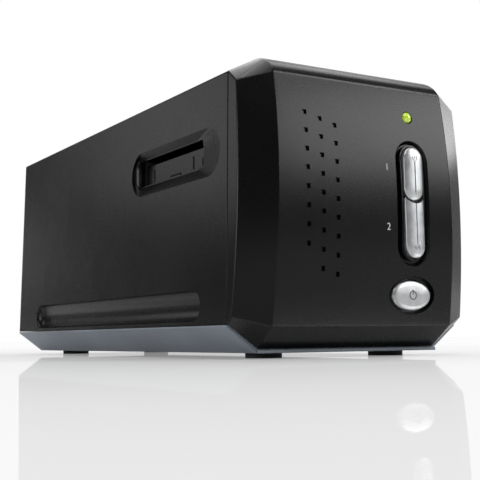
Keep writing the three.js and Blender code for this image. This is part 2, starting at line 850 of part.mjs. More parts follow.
function frontBezel() {
  const outer = bezelBody(0, seamY);
  const hollow = bezelBody(bezelWall, seamY);
  const outside = caseOutline(coverWall + seatGap);
  const tongueStart = seamY - bezelWall;
  const tongueEnd = seamY + tongueLength;
  const tongue = cut(
    prism(outside, 'y', tongueStart, tongueEnd),
    prism(inset(outside, tongueThickness), 'y', tongueStart - cutOver, tongueEnd + cutOver),
  );
  const standoffs = [
    [controlsX - scanButtonWidth, wellZ],
    [controlsX + scanButtonWidth, ledZ],
    [controlsX - scanButtonWidth, (powerZ + wellZ) / 2],
  ].map(([x, z]) => rod('y', x, z, standoffRadius, innerFaceY(z) - joinOver,
    boardFront - seatGap, tinyFacets));
  const well = tower('y', [
    { points: stadium(controlsX, wellZ, wellHeight + wellSlope, wellWidth + wellSlope, 'second'),
      level: faceCrestY - wellDepth },
    { points: stadium(controlsX, wellZ, wellHeight - wellSlope, wellWidth - wellSlope, 'second'),
      level: faceCrestY + wellDepth },
  ]);
  const rimGrowth = buttonFit + wellRimWidth;
  const rimLength = upperButtonTop - lowerButtonBottom + rimGrowth * pairCount;
  const rim = prism(
    stadium(controlsX, (upperButtonTop + lowerButtonBottom) / 2, rimLength,
      scanButtonWidth + rimGrowth * pairCount, 'second'),
    'y', faceCrestY + wellRimDrop, faceCrestY + wellDepth + joinOver,
  );
  const lowerHole = cut(
    prism(lowerButtonOutline(buttonFit), 'y', -caseDepth, seamY),
    dividerCut(buttonFit),
  );
  const upperHole = prism(upperButtonOutline(buttonFit), 'y', -caseDepth, seamY);
  const powerFloor = faceY(powerZ) + powerWellDepth;
  const powerWell = prism(
    ellipse(controlsX, powerZ, powerWidth / 2 + powerWellMargin, powerHeight / 2 + powerWellMargin),
    'y', -caseDepth, powerFloor,
  );
  const powerHole = prism(
    ellipse(controlsX, powerZ, powerWidth / 2 + buttonFit, powerHeight / 2 + buttonFit),
    'y', -caseDepth, seamY,
  );
  const ledHole = rod('y', controlsX, ledZ, ledRadius + seatGap, -caseDepth, seamY, smallFacets);
  const shell = joined(cut(outer, hollow), tongue, ...standoffs);
  const front = joined(cut(shell, well), rim);
  return cut(front, lowerHole, upperHole, powerWell, powerHole, ledHole, dimpleCutters());
}

// Pocket and scoop forms are made for the left side and mirrored for the right
function onSide(solid, side) {
  return side < 0 ? solid : solid.mirror([1, 0, 0]);
}

function pocketForm(growth, from, to) {
  const mouth = stadium(pocketY, pocketZ, pocketLength + growth * pairCount,
    pocketHeight + growth * pairCount);
  const floor = stadium(slotY, slotZ, pocketFloorLength + growth * pairCount,
    pocketFloorHeight + growth * pairCount);
  return tower('x', [{ points: mouth, level: from }, { points: floor, level: to }]);
}

function scoopForm(growth, start) {
  const middle = (scoopFront + scoopRear) / 2;
  const straight = scoopRear - scoopFront - scoopRadius * pairCount;
  const floors = [];
  for (let k = 0; k <= dishSteps; k += 1) {
    const angle = quarterTurn * scoopEndShare * k / dishSteps;
    const radius = (scoopRadius + growth) * Math.cos(angle);
    floors.push({
      points: stadium(middle, scoopZ, straight + radius * pairCount, radius * pairCount),
      level: -scoopWallX + (scoopDepth + growth) * Math.sin(angle),
    });
  }
  floors[0].level = start;
  return tower('x', floors);
}

function topCover() {
  const outside = prism(caseOutline(0), 'y', coverFront, rearY);
  const hollow = prism(caseOutline(coverWall), 'y', coverFront - cutOver, rearY - coverWall);
  const below = box(-caseWidth, caseWidth, -caseDepth, caseDepth, -cutOver, coverBottom);
  let shell = cut(outside, hollow);
  for (const side of [-1, 1]) {
    shell = shell.add(onSide(pocketForm(pocketWall, -slotWallX + joinOver, -pocketBackX), side));
    shell = shell.add(onSide(scoopForm(scoopWall, -scoopWallX + joinOver), side));
    for (const y of coverPostYs) {
      const x = coverPostX * side;
      const wallX = (halfWidth - draftAt(coverPostTop) - joinOver) * side;
      const web = box(Math.min(x, wallX), Math.max(x, wallX), y - coverPostWeb / 2, y + coverPostWeb / 2,
        coverBottom, coverPostTop);
      shell = joined(shell, web, rod('z', x, y, coverPostRadius, coverBottom - cutOver, coverPostTop));
    }
  }
  shell = cut(shell, below);
  for (const side of [-1, 1]) {
    for (const y of coverPostYs) {
      const x = coverPostX * side;
      shell = shell.add(rod('z', x, y, coverPostRadius, coverPostBottom, coverBottom + joinOver));
      shell = shell.subtract(rod('z', x, y, caseScrewShank + screwClearance,
        coverPostBottom - cutOver, caseScrewReach + cutOver, smallFacets));
    }
    const mouth = pocketForm(0, -slotWallX, -slotWallX + pocketDepth);
    const skin = prism(stadium(pocketY, pocketZ, pocketLength, pocketHeight), 'x', -caseWidth, -slotWallX);
    const window = prism(rectangle(slotY - slotLength / 2, slotZ - slotHeight / 2,
      slotY + slotLength / 2, slotZ + slotHeight / 2), 'x', -caseWidth, -pocketBackX + cutOver);
    const scoop = scoopForm(0, -scoopWallX);
    const scoopSkin = prism(stadium((scoopFront + scoopRear) / 2, scoopZ, scoopRear - scoopFront,
      scoopRadius * pairCount), 'x', -caseWidth, -scoopWallX);
    for (const cutter of [joined(mouth, skin, window), joined(scoop, scoopSkin)]) {
      shell = shell.subtract(onSide(cutter, side));
    }
  }
  const rearOpening = box(rearOpeningLeft, rearOpeningRight, rearY - coverWall - cutOver,
    rearY + cutOver, coverBottom - cutOver, rearOpeningTop);
  return shell.subtract(rearOpening);
}

function footPlaces() {
  return [
    { name: 'foot_front_left', x: -frontFootX, y: frontFootY },
    { name: 'foot_front_right', x: frontFootX, y: frontFootY },
    { name: 'foot_rear_left', x: -rearFootX, y: rearFootY },
    { name: 'foot_rear_right', x: rearFootX, y: rearFootY },
  ];
}

function mainBoardPosts() {
  const xs = [mainBoardLeft + mainBoardPostInset, mainBoardRight - mainBoardPostInset];
  const ys = [mainBoardFront + mainBoardPostInset, mainBoardRear - mainBoardPostRearInset];
  return xs.flatMap((x) => ys.map((y) => [x, y]));
}

function baseTray() {
  const outside = [
    [-floorHalfWidth, caseFloor],
    [floorHalfWidth, caseFloor],
    [halfWidth, chamferTop],
    [halfWidth, trayRimTop],
    [-halfWidth, trayRimTop],
    [-halfWidth, chamferTop],
  ];
  let tray = cut(
    prism(outside, 'y', coverFront, rearY),
    prism(caseOutline(trayWall), 'y', coverFront - cutOver, rearY - trayWall),
  );
  tray = tray.add(box(-floorHalfWidth, floorHalfWidth, seamY - apronReach, coverFront + joinOver,
    caseFloor, caseFloor + apronThickness));
  for (const side of [-1, 1]) {
    for (const y of chassisPostYs) {
      tray = tray.add(rod('z', chassisPostX * side, y, chassisPostRadius, chassisPostFoot,
        chassisBottom - seatGap, smallFacets));
    }
    for (const y of coverPostYs) {
      const x = coverPostX * side;
      tray = tray.add(rod('z', x, y, trayBossRadius, caseFloor + joinOver, coverPostBottom - seatGap));
      tray = cut(
        tray,
        rod('z', x, y, caseScrewHead + screwClearance, caseFloor - cutOver, caseFloor + caseScrewRecess),
        rod('z', x, y, caseScrewShank + screwClearance, caseFloor, coverPostBottom + cutOver, smallFacets),
      );
    }
  }
  for (const [x, y] of mainBoardPosts()) {
    tray = tray.add(rod('z', x, y, mainBoardPostRadius, trayFloorTop - joinOver, mainBoardZ - seatGap,
      tinyFacets));
  }
  for (const { x, y } of footPlaces()) {
    tray = tray.subtract(rod('z', x, y, footRadius + footRecessFit, caseFloor - cutOver,
      footHeight + seatGap));
  }
  return tray;
}

function foot({ x, y }) {
  return tower('z', [
    { points: circle(x, y, footRadius - footCrown), level: 0 },
    { points: circle(x, y, footRadius), level: footCrown },
    { points: circle(x, y, footRadius), level: footHeight },
  ]);
}

function caseScrew(x, y) {
  const headBottom = caseScrewHeadBottom;
  const headTop = headBottom + caseScrewHeadHeight;
  const slot = box(x - caseScrewHead - cutOver, x + caseScrewHead + cutOver, y - screwSlotWidth / 2,
    y + screwSlotWidth / 2, headBottom - cutOver, headBottom + screwSlotDepth);
  return cut(
    joined(
      rod('z', x, y, caseScrewHead, headBottom, headTop, smallFacets),
      rod('z', x, y, caseScrewShank, headTop - joinOver, caseScrewReach, tinyFacets),
    ),
    slot,
  );
}

function chassisPlate() {
  const window = prism(rectangle(-chassisWindowHalfWidth, chassisWindowFront,
    chassisWindowHalfWidth, chassisWindowRear), 'z', chassisBottom - cutOver, chassisTop + cutOver);
  let plate = box(-chassisHalfWidth, chassisHalfWidth, chassisFront, chassisRear, chassisBottom, chassisTop);
  for (const side of [-1, 1]) {
    for (const y of [rodTabFrontY, rodTabRearY]) {
      const x = rodX * side;
      plate = plate.add(box(x - rodTabWidth / 2, x + rodTabWidth / 2, y - chassisThickness / 2,
        y + chassisThickness / 2, chassisTop - joinOver, rodTabTop));
      plate = plate.subtract(rod('y', x, rodZ, boreRadius(rodRadius, seatGap), y - chassisThickness,
        y + chassisThickness));
    }
  }
  plate = plate.add(box(driveX - lugHalfWidth, driveX + lugHalfWidth, lugY, lugY + chassisThickness,
    chassisTop - joinOver, lugTop));
  const shaftHole = rod('z', driveX, motorY, motorShaftHole, chassisBottom - cutOver,
    chassisTop + cutOver, smallFacets);
  return cut(plate, window, shaftHole);
}

function guideRod(side) {
  return rod('y', rodX * side, rodZ, rodRadius, rodFront, rodRear);
}

function bush(x, y) {
  return cut(
    rod('y', x, rodZ, bushRadius, y - bushLength / 2, y + bushLength / 2),
    rod('y', x, rodZ, boreRadius(rodRadius, runningGap), y - bushLength, y + bushLength),
  );
}

function bushPlaces() {
  return [
    { name: 'bush_left_front', x: -rodX, y: carriageFront + bushInset },
    { name: 'bush_left_rear', x: -rodX, y: carriageRear - bushInset },
    { name: 'bush_right', x: rodX, y: (carriageFront + carriageRear) / 2 },
  ];
}

function carriageEar({ x, y }) {
  const side = Math.sign(x);
  const reach = rodX + bushRadius + earMargin;
  const inner = (carriageHalfWidth - joinOver) * side;
  const outer = reach * side;
  const half = bushLength / 2;
  const low = carriageBottom;
  const high = rodZ + bushRadius + earMargin;
  return cut(
    box(Math.min(inner, outer), Math.max(inner, outer), y - half, y + half, low, high),
    rod('y', x, rodZ, boreRadius(bushRadius, seatGap), y - bushLength, y + bushLength),
  );
}

function scanCarriage() {
  const half = carriageHalfWidth;
  const wall = carriageWall;
  const spineRear = spineFront + spineThickness;
  const armTop = armBottom + armThickness;
  const barrelBlock = cut(
    box(-half + joinOver, half - joinOver, barrelWallY, barrelWallY + barrelWallThickness,
      opticZ - barrelRadius - earMargin, carriageTop - joinOver),
    rod('y', 0, opticZ, boreRadius(barrelRadius, seatGap), barrelWallY - cutOver,
      barrelWallY + barrelWallThickness + cutOver),
  );
  const sensorPosts = [-1, 1].map((side) => rod('y', (sensorBoardHalfWidth - sensorPostRadius * pairCount) * side,
    opticZ + sensorBoardHeight / 2 - sensorPostRadius * pairCount, sensorPostRadius,
    sensorBoardY + boardThickness + seatGap, carriageRear - joinOver, tinyFacets));
  const ribs = [-1, 1].map((side) => {
    const edge = half * side;
    const inner = (half - wall) * side;
    return box(Math.min(edge, inner), Math.max(edge, inner), armFront, spineRear, armTop - joinOver,
      armTop + ribHeight);
  });
  return joined(
    cut(
      box(-half, half, carriageFront, carriageRear, carriageBottom, carriageTop),
      box(-half + wall, half - wall, carriageFront + wall, carriageRear - wall,
        carriageBottom - cutOver, carriageTop - wall),
      box(-lightHalfWidth, lightHalfWidth, scanLineY - lightSlotWidth / 2, scanLineY + lightSlotWidth / 2,
        carriageBottom, carriageTop + cutOver),
    ),
    box(-half, half, spineFront, spineRear, carriageTop - joinOver, armTop),
    box(-half, half, armFront, spineRear, armBottom, armTop),
    barrelBlock,
    ...sensorPosts,
    ...ribs,
    ...bushPlaces().map(carriageEar),
  );
}

function lampHousing() {
  const halfLength = lampWidth / 2;
  return cut(
    box(-lightHalfWidth - lampWall, lightHalfWidth + lampWall, scanLineY - halfLength, scanLineY + halfLength,
      lampBottom, armBottom - seatGap),
    box(-lightHalfWidth, lightHalfWidth, scanLineY - halfLength + lampWall, scanLineY + halfLength - lampWall,
      lampBottom - cutOver, armBottom - seatGap - lampWall),
  );
}

function lampDiffuser() {
  const halfLength = lampWidth / 2 - lampWall - seatGap;
  return box(-lightHalfWidth + seatGap, lightHalfWidth - seatGap, scanLineY - halfLength,
    scanLineY + halfLength, lampBottom, lampBottom + diffuserThickness);
}

function scanMirror() {
  const half = mirrorLength / 2 * Math.SQRT1_2;
  const thick = mirrorThickness / 2 * Math.SQRT1_2;
  const outline = [
    [scanLineY - half + thick, opticZ + half + thick],
    [scanLineY - half - thick, opticZ + half - thick],
    [scanLineY + half - thick, opticZ - half - thick],
    [scanLineY + half + thick, opticZ - half + thick],
  ];
  const halfLength = carriageHalfWidth - carriageWall - seatGap;
  return prism(outline, 'x', -halfLength, halfLength);
}

function lensBarrel() {
  const bore = rod('y', 0, opticZ, barrelBore, barrelFront - cutOver, barrelRear + cutOver);
  const seat = rod('y', 0, opticZ, lensRadius + seatGap, barrelFront - cutOver,
    barrelFront + lensRise + lensEdge);
  return cut(
    joined(
      rod('y', 0, opticZ, barrelStepRadius, barrelFront, barrelFront + barrelStepLength + joinOver),
      rod('y', 0, opticZ, barrelRadius, barrelFront + barrelStepLength, barrelRear),
    ),
    bore,
    seat,
  );
}

function lensGlass() {
  const back = barrelFront + lensRise + lensEdge - seatGap;
  const front = back - lensEdge - lensRise;
  const floors = [{ points: circle(0, opticZ, lensRadius), level: back }];
  for (let k = 0; k <= dishSteps; k += 1) {
    const angle = quarterTurn * scoopEndShare * k / dishSteps;
    floors.push({
      points: circle(0, opticZ, lensRadius * Math.cos(angle)),
      level: back - lensEdge - lensRise * Math.sin(angle),
    });
  }
  floors[floors.length - 1].level = front;
  return tower('y', floors);
}

function sensorBoard() {
  return box(-sensorBoardHalfWidth, sensorBoardHalfWidth, sensorBoardY, sensorBoardY + boardThickness,
    opticZ - sensorBoardHeight / 2, opticZ + sensorBoardHeight / 2);
}

function sensorChip() {
  const rear = sensorBoardY - seatGap;
  return box(-sensorChipLength / 2, sensorChipLength / 2, rear - sensorChipThickness, rear,
    opticZ - sensorChipHeight / 2, opticZ + sensorChipHeight / 2);
}

// Involute tooth outline of a spur gear about a middle point
function gearOutline(middleX, middleY, teeth, phase) {
  const pitchRadius = gearModule * teeth / 2;
  const baseRadius = pitchRadius * Math.cos(pressureAngle);
  const tipRadius = pitchRadius + gearModule * addendumShare;
  const rootRadius = pitchRadius - gearModule * dedendumShare;
  const involute = (angle) => Math.tan(angle) - angle;
  const halfTooth = halfTurn / teeth / 2 - flankBacklash / 2 / pitchRadius;
  const lowRadius = Math.max(baseRadius, rootRadius);
  const points = [];
  const add = (radius, angle) => {
    points.push([middleX + radius * Math.cos(angle), middleY + radius * Math.sin(angle)]);
  };
  for (let i = 0; i < teeth; i += 1) {
    const centre = phase + i * fullTurn / teeth;
    const half = (radius) => (
      halfTooth + involute(pressureAngle) - involute(Math.acos(Math.min(1, baseRadius / radius)))
    );
    add(rootRadius, centre - half(lowRadius));
    for (let k = 0; k <= flankSteps; k += 1) {
      const radius = mix(lowRadius, tipRadius, k / flankSteps);
      add(radius, centre - half(radius));
    }
    for (let k = flankSteps; k >= 0; k -= 1) {
      const radius = mix(lowRadius, tipRadius, k / flankSteps);
      add(radius, centre + half(radius));
    }
    add(rootRadius, centre + half(lowRadius));
  }
  return points;
}

function pulleyStack(x, y) {
  return joined(
    rod('z', x, y, pulleyRadius, pulleyBottom - joinOver, pulleyTop + joinOver, bigFacets),
    rod('z', x, y, pulleyRadius + pulleyFlange, pulleyBottom - pulleyFlangeThickness, pulleyBottom,
      bigFacets),
    rod('z', x, y, pulleyRadius + pulleyFlange, pulleyTop, pulleyTop + pulleyFlangeThickness, bigFacets),
  );
}

function driveGear() {
  const wheel = prism(gearOutline(driveX, driveY, driveTeeth, 0), 'z', gearBottom, gearBottom + gearThickness);
  const hub = rod('z', driveX, driveY, pulleyRadius, gearBottom, pulleyBottom);
  const bore = rod('z', driveX, driveY, boreRadius(studRadius, runningGap), gearBottom - cutOver,
    studTop + cutOver);
  return cut(joined(wheel, hub, pulleyStack(driveX, driveY)), bore);
}

function stud(x, y, bottom) {
  return joined(
    rod('z', x, y, studCollarRadius, bottom, bottom + studCollarHeight),
    rod('z', x, y, studRadius, bottom + joinOver, studTop),
  );
}

function idlerPulley() {
  return cut(
    pulleyStack(driveX, idlerY),
    rod('z', driveX, idlerY, boreRadius(studRadius, runningGap), chassisTop, studTop + cutOver),
  );
}

function idlerBracket() {
  const top = plateTop + bracketThickness;
  return joined(
    box(driveX - bracketHalfWidth, driveX + bracketHalfWidth, bracketFront, bracketRear, plateTop, top),
    box(driveX - lugHalfWidth, driveX + lugHalfWidth, bracketRear - bracketThickness, bracketRear,
      top - joinOver, bracketTabTop),
    rod('z', driveX, idlerY, studCollarRadius, top - joinOver, pulleyBottom - pulleyFlangeThickness - seatGap),
    rod('z', driveX, idlerY, studRadius, top - joinOver, studTop),
  );
}

function tensionSpring() {
  const z = (plateTop + bracketThickness + bracketTabTop) / 2;
  return coil('y', driveX, z, tensionSpringRadius, tensionSpringWire, bracketRear + seatGap,
    lugY - seatGap, tensionSpringTurns);
}

function beltOutline(radius) {
  const points = [];
  const half = bigFacets / 2;
  for (let i = 0; i <= half; i += 1) {
    const angle = i * fullTurn / bigFacets;
    points.push([driveX + radius * Math.cos(angle), driveY + radius * Math.sin(angle)]);
  }
  for (let i = half; i <= bigFacets; i += 1) {
    const angle = i * fullTurn / bigFacets;
    points.push([driveX + radius * Math.cos(angle), idlerY + radius * Math.sin(angle)]);
  }
  return points;
}

function driveBelt() {
  const hole = beltInnerRadius / Math.cos(halfTurn / bigFacets);
  return cut(
    prism(beltOutline(hole + beltThickness), 'z', beltBottom, beltTop),
    prism(beltOutline(hole), 'z', beltBottom - cutOver, beltTop + cutOver),
  );
}

function beltClamp() {
  const strand = driveX - beltPitchRadius;
  const gap = beltThickness / 2 + seatGap;
  const front = clampY - clampLength / 2;
  const rear = clampY + clampLength / 2;
  const bridgeTop = clampBridgeBottom + clampBridgeThickness;
  const inner = strand - gap - clampJaw;
  const outer = strand + gap + clampJaw;
  const jaws = [inner, strand + gap].map((x) => box(x, x + clampJaw, front, rear, beltBottom,
    clampBridgeBottom + joinOver));
  return joined(
    box(carriageHalfWidth + seatGap, outer, front, rear, clampBridgeBottom, bridgeTop),
    ...jaws,
  );
}

function stepperMotor() {
  const top = chassisBottom - seatGap;
  return joined(
    rod('z', driveX, motorY, motorRadius, top - motorHeight, top, bigFacets),
    prism(stadium(driveX, motorY, motorEarReach * pairCount, motorEarHalfWidth * pairCount, 'second'),
      'z', top - motorEarThickness, top),
  );
}

function motorPinion() {
  const phase = -quarterTurn + halfTurn / pinionTeeth;
  const top = gearBottom + gearThickness;
  return joined(
    prism(gearOutline(driveX, motorY, pinionTeeth, phase), 'z', gearBottom, top),
    rod('z', driveX, motorY, motorShaftRadius, chassisBottom, top + joinOver, tinyFacets),
  );
}

function filmGuide() {
  const half = guideHalfWidth;
  const floor = cut(
    box(-guideHalfLength, guideHalfLength, slotY - half - joinOver, slotY + half + joinOver,
      guideFloorTop - guideFloorThickness, guideFloorTop),
    box(-guideApertureHalfWidth, guideApertureHalfWidth, guideApertureFront, guideApertureRear,
      guideFloorTop - guideFloorThickness - cutOver, guideFloorTop + cutOver),
  );
  const pieces = [floor];
  for (const end of [-1, 1]) {
    const near = slotY + half * end;
    const far = near + guideCheekThickness * end;
    const low = Math.min(near, far);
    const high = Math.max(near, far);
    pieces.push(box(-guideCheekHalfLength, guideCheekHalfLength, low, high, guideCheekBottom, guideCheekTop));
    for (const side of [-1, 1]) {
      const inner = guideLegX * side;
      const outer = (guideLegX + guideLegWidth) * side;
      pieces.push(box(Math.min(inner, outer), Math.max(inner, outer), low, high, plateTop,
        guideCheekBottom + joinOver));
    }
  }
  const pinHoles = [-1, 1].map((side) => rod('y', doorPinX * side, doorPinZ,
    boreRadius(doorPinRadius, seatGap / 2, tinyFacets), slotY - half - guideCheekThickness - cutOver,
    slotY + half + guideCheekThickness + cutOver, tinyFacets));
  const ends = [-1, 1].map((side) => {
    const inner = guideCheekHalfLength * side;
    const outer = caseWidth * side;
    return box(Math.min(inner, outer), Math.max(inner, outer), -caseDepth, caseDepth,
      guideCheekBottom - joinOver, guideCheekTop + cutOver);
  });
  return cut(joined(...pieces), ...pinHoles, ...ends);
}

function filmGuideCover() {
  const half = guideHalfWidth + guideCheekThickness;
  const roof = guideRoofBottom + guideRoofThickness;
  return cut(
    box(-guideHalfLength, guideHalfLength, slotY - half, slotY + half, guideRoofBottom, roof),
    box(-guideApertureHalfWidth, guideApertureHalfWidth, guideApertureFront, guideApertureRear,
      guideRoofBottom - cutOver, roof + cutOver),
  );
}

// Built closed for the left slot: its outer side faces -X
function dustDoor(side) {
  const front = slotY - guideHalfWidth + doorSideGap;
  const rear = slotY + guideHalfWidth - doorSideGap;
  const outerFace = -doorPinX - doorBarrelRadius - doorFaceStep;
  const innerFace = outerFace + doorThickness;
  const springHalf = doorSpringLength / 2 + seatGap;
  const springRoom = doorSpringRadius + doorSpringWire + seatGap;
  const ribs = doorRibShares.map((share) => box(outerFace - doorRibRise, outerFace + joinOver,
    slotY + guideHalfWidth * share - doorRibWidth / 2, slotY + guideHalfWidth * share + doorRibWidth / 2,
    doorPinZ + doorRibFoot, doorPinZ + doorRibFoot + doorRibHeight));
  const blade = box(outerFace, innerFace, front, rear, doorPinZ - doorFoot, doorPinZ + doorHeight);
  const barrel = rod('y', -doorPinX, doorPinZ, doorBarrelRadius, front, rear, smallFacets);
  const door = cut(
    joined(blade, barrel, ...ribs),
    rod('y', -doorPinX, doorPinZ, boreRadius(doorPinRadius, runningGap, tinyFacets),
      front - cutOver, rear + cutOver, tinyFacets),
    box(-doorPinX - springRoom, -doorPinX + springRoom, slotY - springHalf, slotY + springHalf,
      doorPinZ - springRoom, doorPinZ + springRoom),
  );
  return onSide(door, side);
}

function doorPin(side) {
  const reach = guideHalfWidth + guideCheekThickness;
  return rod('y', doorPinX * side, doorPinZ, doorPinRadius, slotY - reach, slotY + reach, tinyFacets);
}

function doorSpring(side) {
  return coil('y', doorPinX * side, doorPinZ, doorSpringRadius - doorSpringWire, doorSpringWire,
    slotY - doorSpringLength / 2, slotY + doorSpringLength / 2, doorSpringTurns);
}

function mainBoard() {
  const top = mainBoardZ + boardThickness;
  const board = box(mainBoardLeft, mainBoardRight, mainBoardFront, mainBoardRear, mainBoardZ, top);
  const alongX = (share) => mix(mainBoardLeft, mainBoardRight, share);
  const alongY = (share) => mix(mainBoardFront, mainBoardRear, share);
  const blocks = chipShares.map(({ x, y, width, depth }) => box(alongX(x - width / 2), alongX(x + width / 2),
    alongY(y - depth / 2), alongY(y + depth / 2), top - joinOver, top + chipHeight));
  const cans = capacitorShares.map(({ x, y }) => rod('z', alongX(x), alongY(y), capacitorRadius,
    top - joinOver, top + capacitorHeight, smallFacets));
  return joined(board, ...blocks, ...cans);
}

function usbSocket() {
  const bottom = mainBoardZ + boardThickness + seatGap;
  const rear = rearY - socketInset;
  const front = rear - usbLength;
  const half = usbWidth / 2;
  const middle = bottom + usbHeight / 2;
  return joined(
    cut(
      box(usbX - half, usbX + half, front, rear, bottom, bottom + usbHeight),
      box(usbX - half + usbWall, usbX + half - usbWall, rear - usbMouthDepth, rear + cutOver,
        bottom + usbWall, bottom + usbHeight - usbWall),
    ),
    box(usbX - usbTongueWidth / 2, usbX + usbTongueWidth / 2, rear - usbMouthDepth - joinOver,
      rear - joinOver, middle - usbTongueHeight / 2, middle + usbTongueHeight / 2),
  );
}

function powerJack() {
  const bottom = mainBoardZ + boardThickness + seatGap;
  const rear = rearY - socketInset;
  const half = powerJackWidth / 2;
  const middle = bottom + powerJackHeight / 2;
  return joined(
    cut(
      box(powerJackX - half, powerJackX + half, rear - powerJackLength, rear, bottom,
        bottom + powerJackHeight),
      rod('y', powerJackX, middle, powerJackBore, rear - powerJackDepth, rear + cutOver),
    ),
    rod('y', powerJackX, middle, powerJackPin, rear - powerJackDepth - joinOver, rear - joinOver,
      tinyFacets),
  );
}

function rearPanel() {
  const bottom = mainBoardZ + boardThickness + seatGap;
  const wallFront = rearY - coverWall;
  const panel = box(rearOpeningLeft + seatGap, rearOpeningRight - seatGap, wallFront,
    rearY - rearPanelInset, trayRimTop + seatGap, rearOpeningTop - seatGap);
  const usbCut = box(usbX - usbWidth / 2 - seatGap, usbX + usbWidth / 2 + seatGap, wallFront - cutOver,
    rearY + cutOver, bottom - seatGap, bottom + usbHeight + seatGap);
  const jackCut = box(powerJackX - powerJackWidth / 2 - seatGap, powerJackX + powerJackWidth / 2 + seatGap,
    wallFront - cutOver, rearY + cutOver, bottom - seatGap, bottom + powerJackHeight + seatGap);
  return cut(panel, usbCut, jackCut);
}

function buttonBoard() {
  return box(controlsX - buttonBoardMargin * pairCount, controlsX + buttonBoardMargin * pairCount,
    boardFront, boardFront + boardThickness, powerZ - buttonBoardMargin, ledZ + buttonBoardMargin);
}

function tactSwitch(z) {
  const half = switchSize / 2;
  return joined(
    box(controlsX - half, controlsX + half, switchFront, boardFront - seatGap, z - half, z + half),
    rod('y', controlsX, z, plungerRadius, plungerTip, switchFront + joinOver, smallFacets),
  );
}

// A button's shaft, flange and crowned cap, from the outline of the cap at a growth
function buttonCap(outlineAt, crest, rise, flangeFront) {
  const floors = [];
  for (let k = dishSteps; k >= 0; k -= 1) {
    const angle = quarterTurn * k / dishSteps;
    floors.push({
      points: outlineAt(-rise * Math.sin(angle) * Math.sin(angle)),
      level: crest + rise * (1 - Math.sin(angle)),
    });
  }
  floors.push({ points: outlineAt(0), level: flangeFront + joinOver });
  return tower('y', floors);
}

function buttonBack(z, flange, flangeFront) {
  const flangeRear = flangeFront + buttonFlangeThickness;
  return joined(
    prism(flange, 'y', flangeFront, flangeRear),
    rod('y', controlsX, z, buttonStemRadius, flangeRear - joinOver, stemEnd, smallFacets),
  );
}

function upperButtonZ() {
  return (upperButtonTop + upperButtonBottom) / 2;
}

function lowerButtonZ() {
  return (upperButtonBottom + lowerButtonBottom) / 2 - buttonPartGap;
}

function upperButtonFlange() {
  return innerFaceY(upperButtonTop + buttonFlange) + seatGap;
}

function lowerButtonFlange() {
  return innerFaceY(lowerButtonBottom - buttonFlange) + seatGap;
}

function powerButtonFlange() {
  return innerFaceY(powerZ - powerHeight / 2 - buttonFlange) + seatGap;
}

function buttonGroove() {
  const half = buttonGrooveWidth / 2;
  return box(controlsX - half, controlsX + half, -caseDepth, faceCrestY - buttonProud + buttonGrooveDepth,
    lowerButtonBottom + scanButtonWidth / 2, upperButtonTop - scanButtonWidth / 2);
}

function upperButton() {
  const crest = faceCrestY - buttonProud;
  const flange = upperButtonFlange();
  const cap = buttonCap(upperButtonOutline, crest, buttonCrownRise, flange);
  return joined(cut(cap, buttonGroove()), buttonBack(upperButtonZ(), upperButtonOutline(buttonFlange), flange));
}

function lowerButton() {
  const crest = faceCrestY - buttonProud;
  const flange = lowerButtonFlange();
  const cap = cut(buttonCap(lowerButtonOutline, crest, buttonCrownRise, flange), dividerCut(0), buttonGroove());
  const back = cut(
    prism(lowerButtonOutline(buttonFlange), 'y', flange, flange + buttonFlangeThickness),
    dividerCut(buttonFlange - seatGap - buttonPartGap),
  );
  const stem = rod('y', controlsX, lowerButtonZ(), buttonStemRadius,
    flange + buttonFlangeThickness - joinOver, stemEnd, smallFacets);
  return joined(cap, back, stem);
}

function powerOutline(growth) {
  return ellipse(controlsX, powerZ, powerWidth / 2 + growth, powerHeight / 2 + growth);
}

function powerButton() {
  const crest = faceY(powerZ) - powerProud;
  const flange = powerButtonFlange();
  const cap = buttonCap(powerOutline, crest, powerCrownRise, flange);
  return joined(cap, buttonBack(powerZ, powerOutline(buttonFlange), flange));
}

function buttonSpring(z, flangeFront) {
  return coil('y', controlsX, z, buttonSpringRadius, buttonSpringWire,
    flangeFront + buttonFlangeThickness + seatGap, switchFront - seatGap, buttonSpringTurns);
}

function ledLens() {
  const front = faceY(ledZ) - ledProud;
  const floors = [];
  for (let k = dishSteps; k >= 0; k -= 1) {
    const angle = quarterTurn * scoopEndShare * k / dishSteps;
    floors.push({
      points: circle(controlsX, ledZ, ledRadius * Math.cos(angle), smallFacets),
      level: front + ledRadius * (1 - Math.sin(angle)),
    });
  }
  floors.push({ points: circle(controlsX, ledZ, ledRadius, smallFacets), level: boardFront - seatGap });
  return tower('y', floors);
}

// A flat cable that drops from the button board, runs back along the tray and climbs to the main board
function buttonCable() {
  const half = ribbonThickness / 2;
  const front = boardFront + boardThickness + seatGap + half;
  const rear = mainBoardFront - seatGap - half;
  const low = ribbonFloorZ;
  const high = mainBoardZ + boardThickness / 2;
  const outline = [
    [front - half, ribbonTopZ],
    [front - half, low - half],
    [rear + half, low - half],
    [rear + half, high],
    [rear - half, high],
    [rear - half, low + half],
    [front + half, low + half],
    [front + half, ribbonTopZ],
  ];
  return prism(outline, 'x', ribbonX - ribbonHalfWidth, ribbonX + ribbonHalfWidth);
}

const scanner = new THREE.Group();

function add(name, piece, look) {
  const geometry = piece.isBufferGeometry ? piece : geometryOf(piece);
  const mesh = new THREE.Mesh(geometry, new THREE.MeshStandardMaterial(looks[look]));
  mesh.name = name;
  scanner.add(mesh);
}

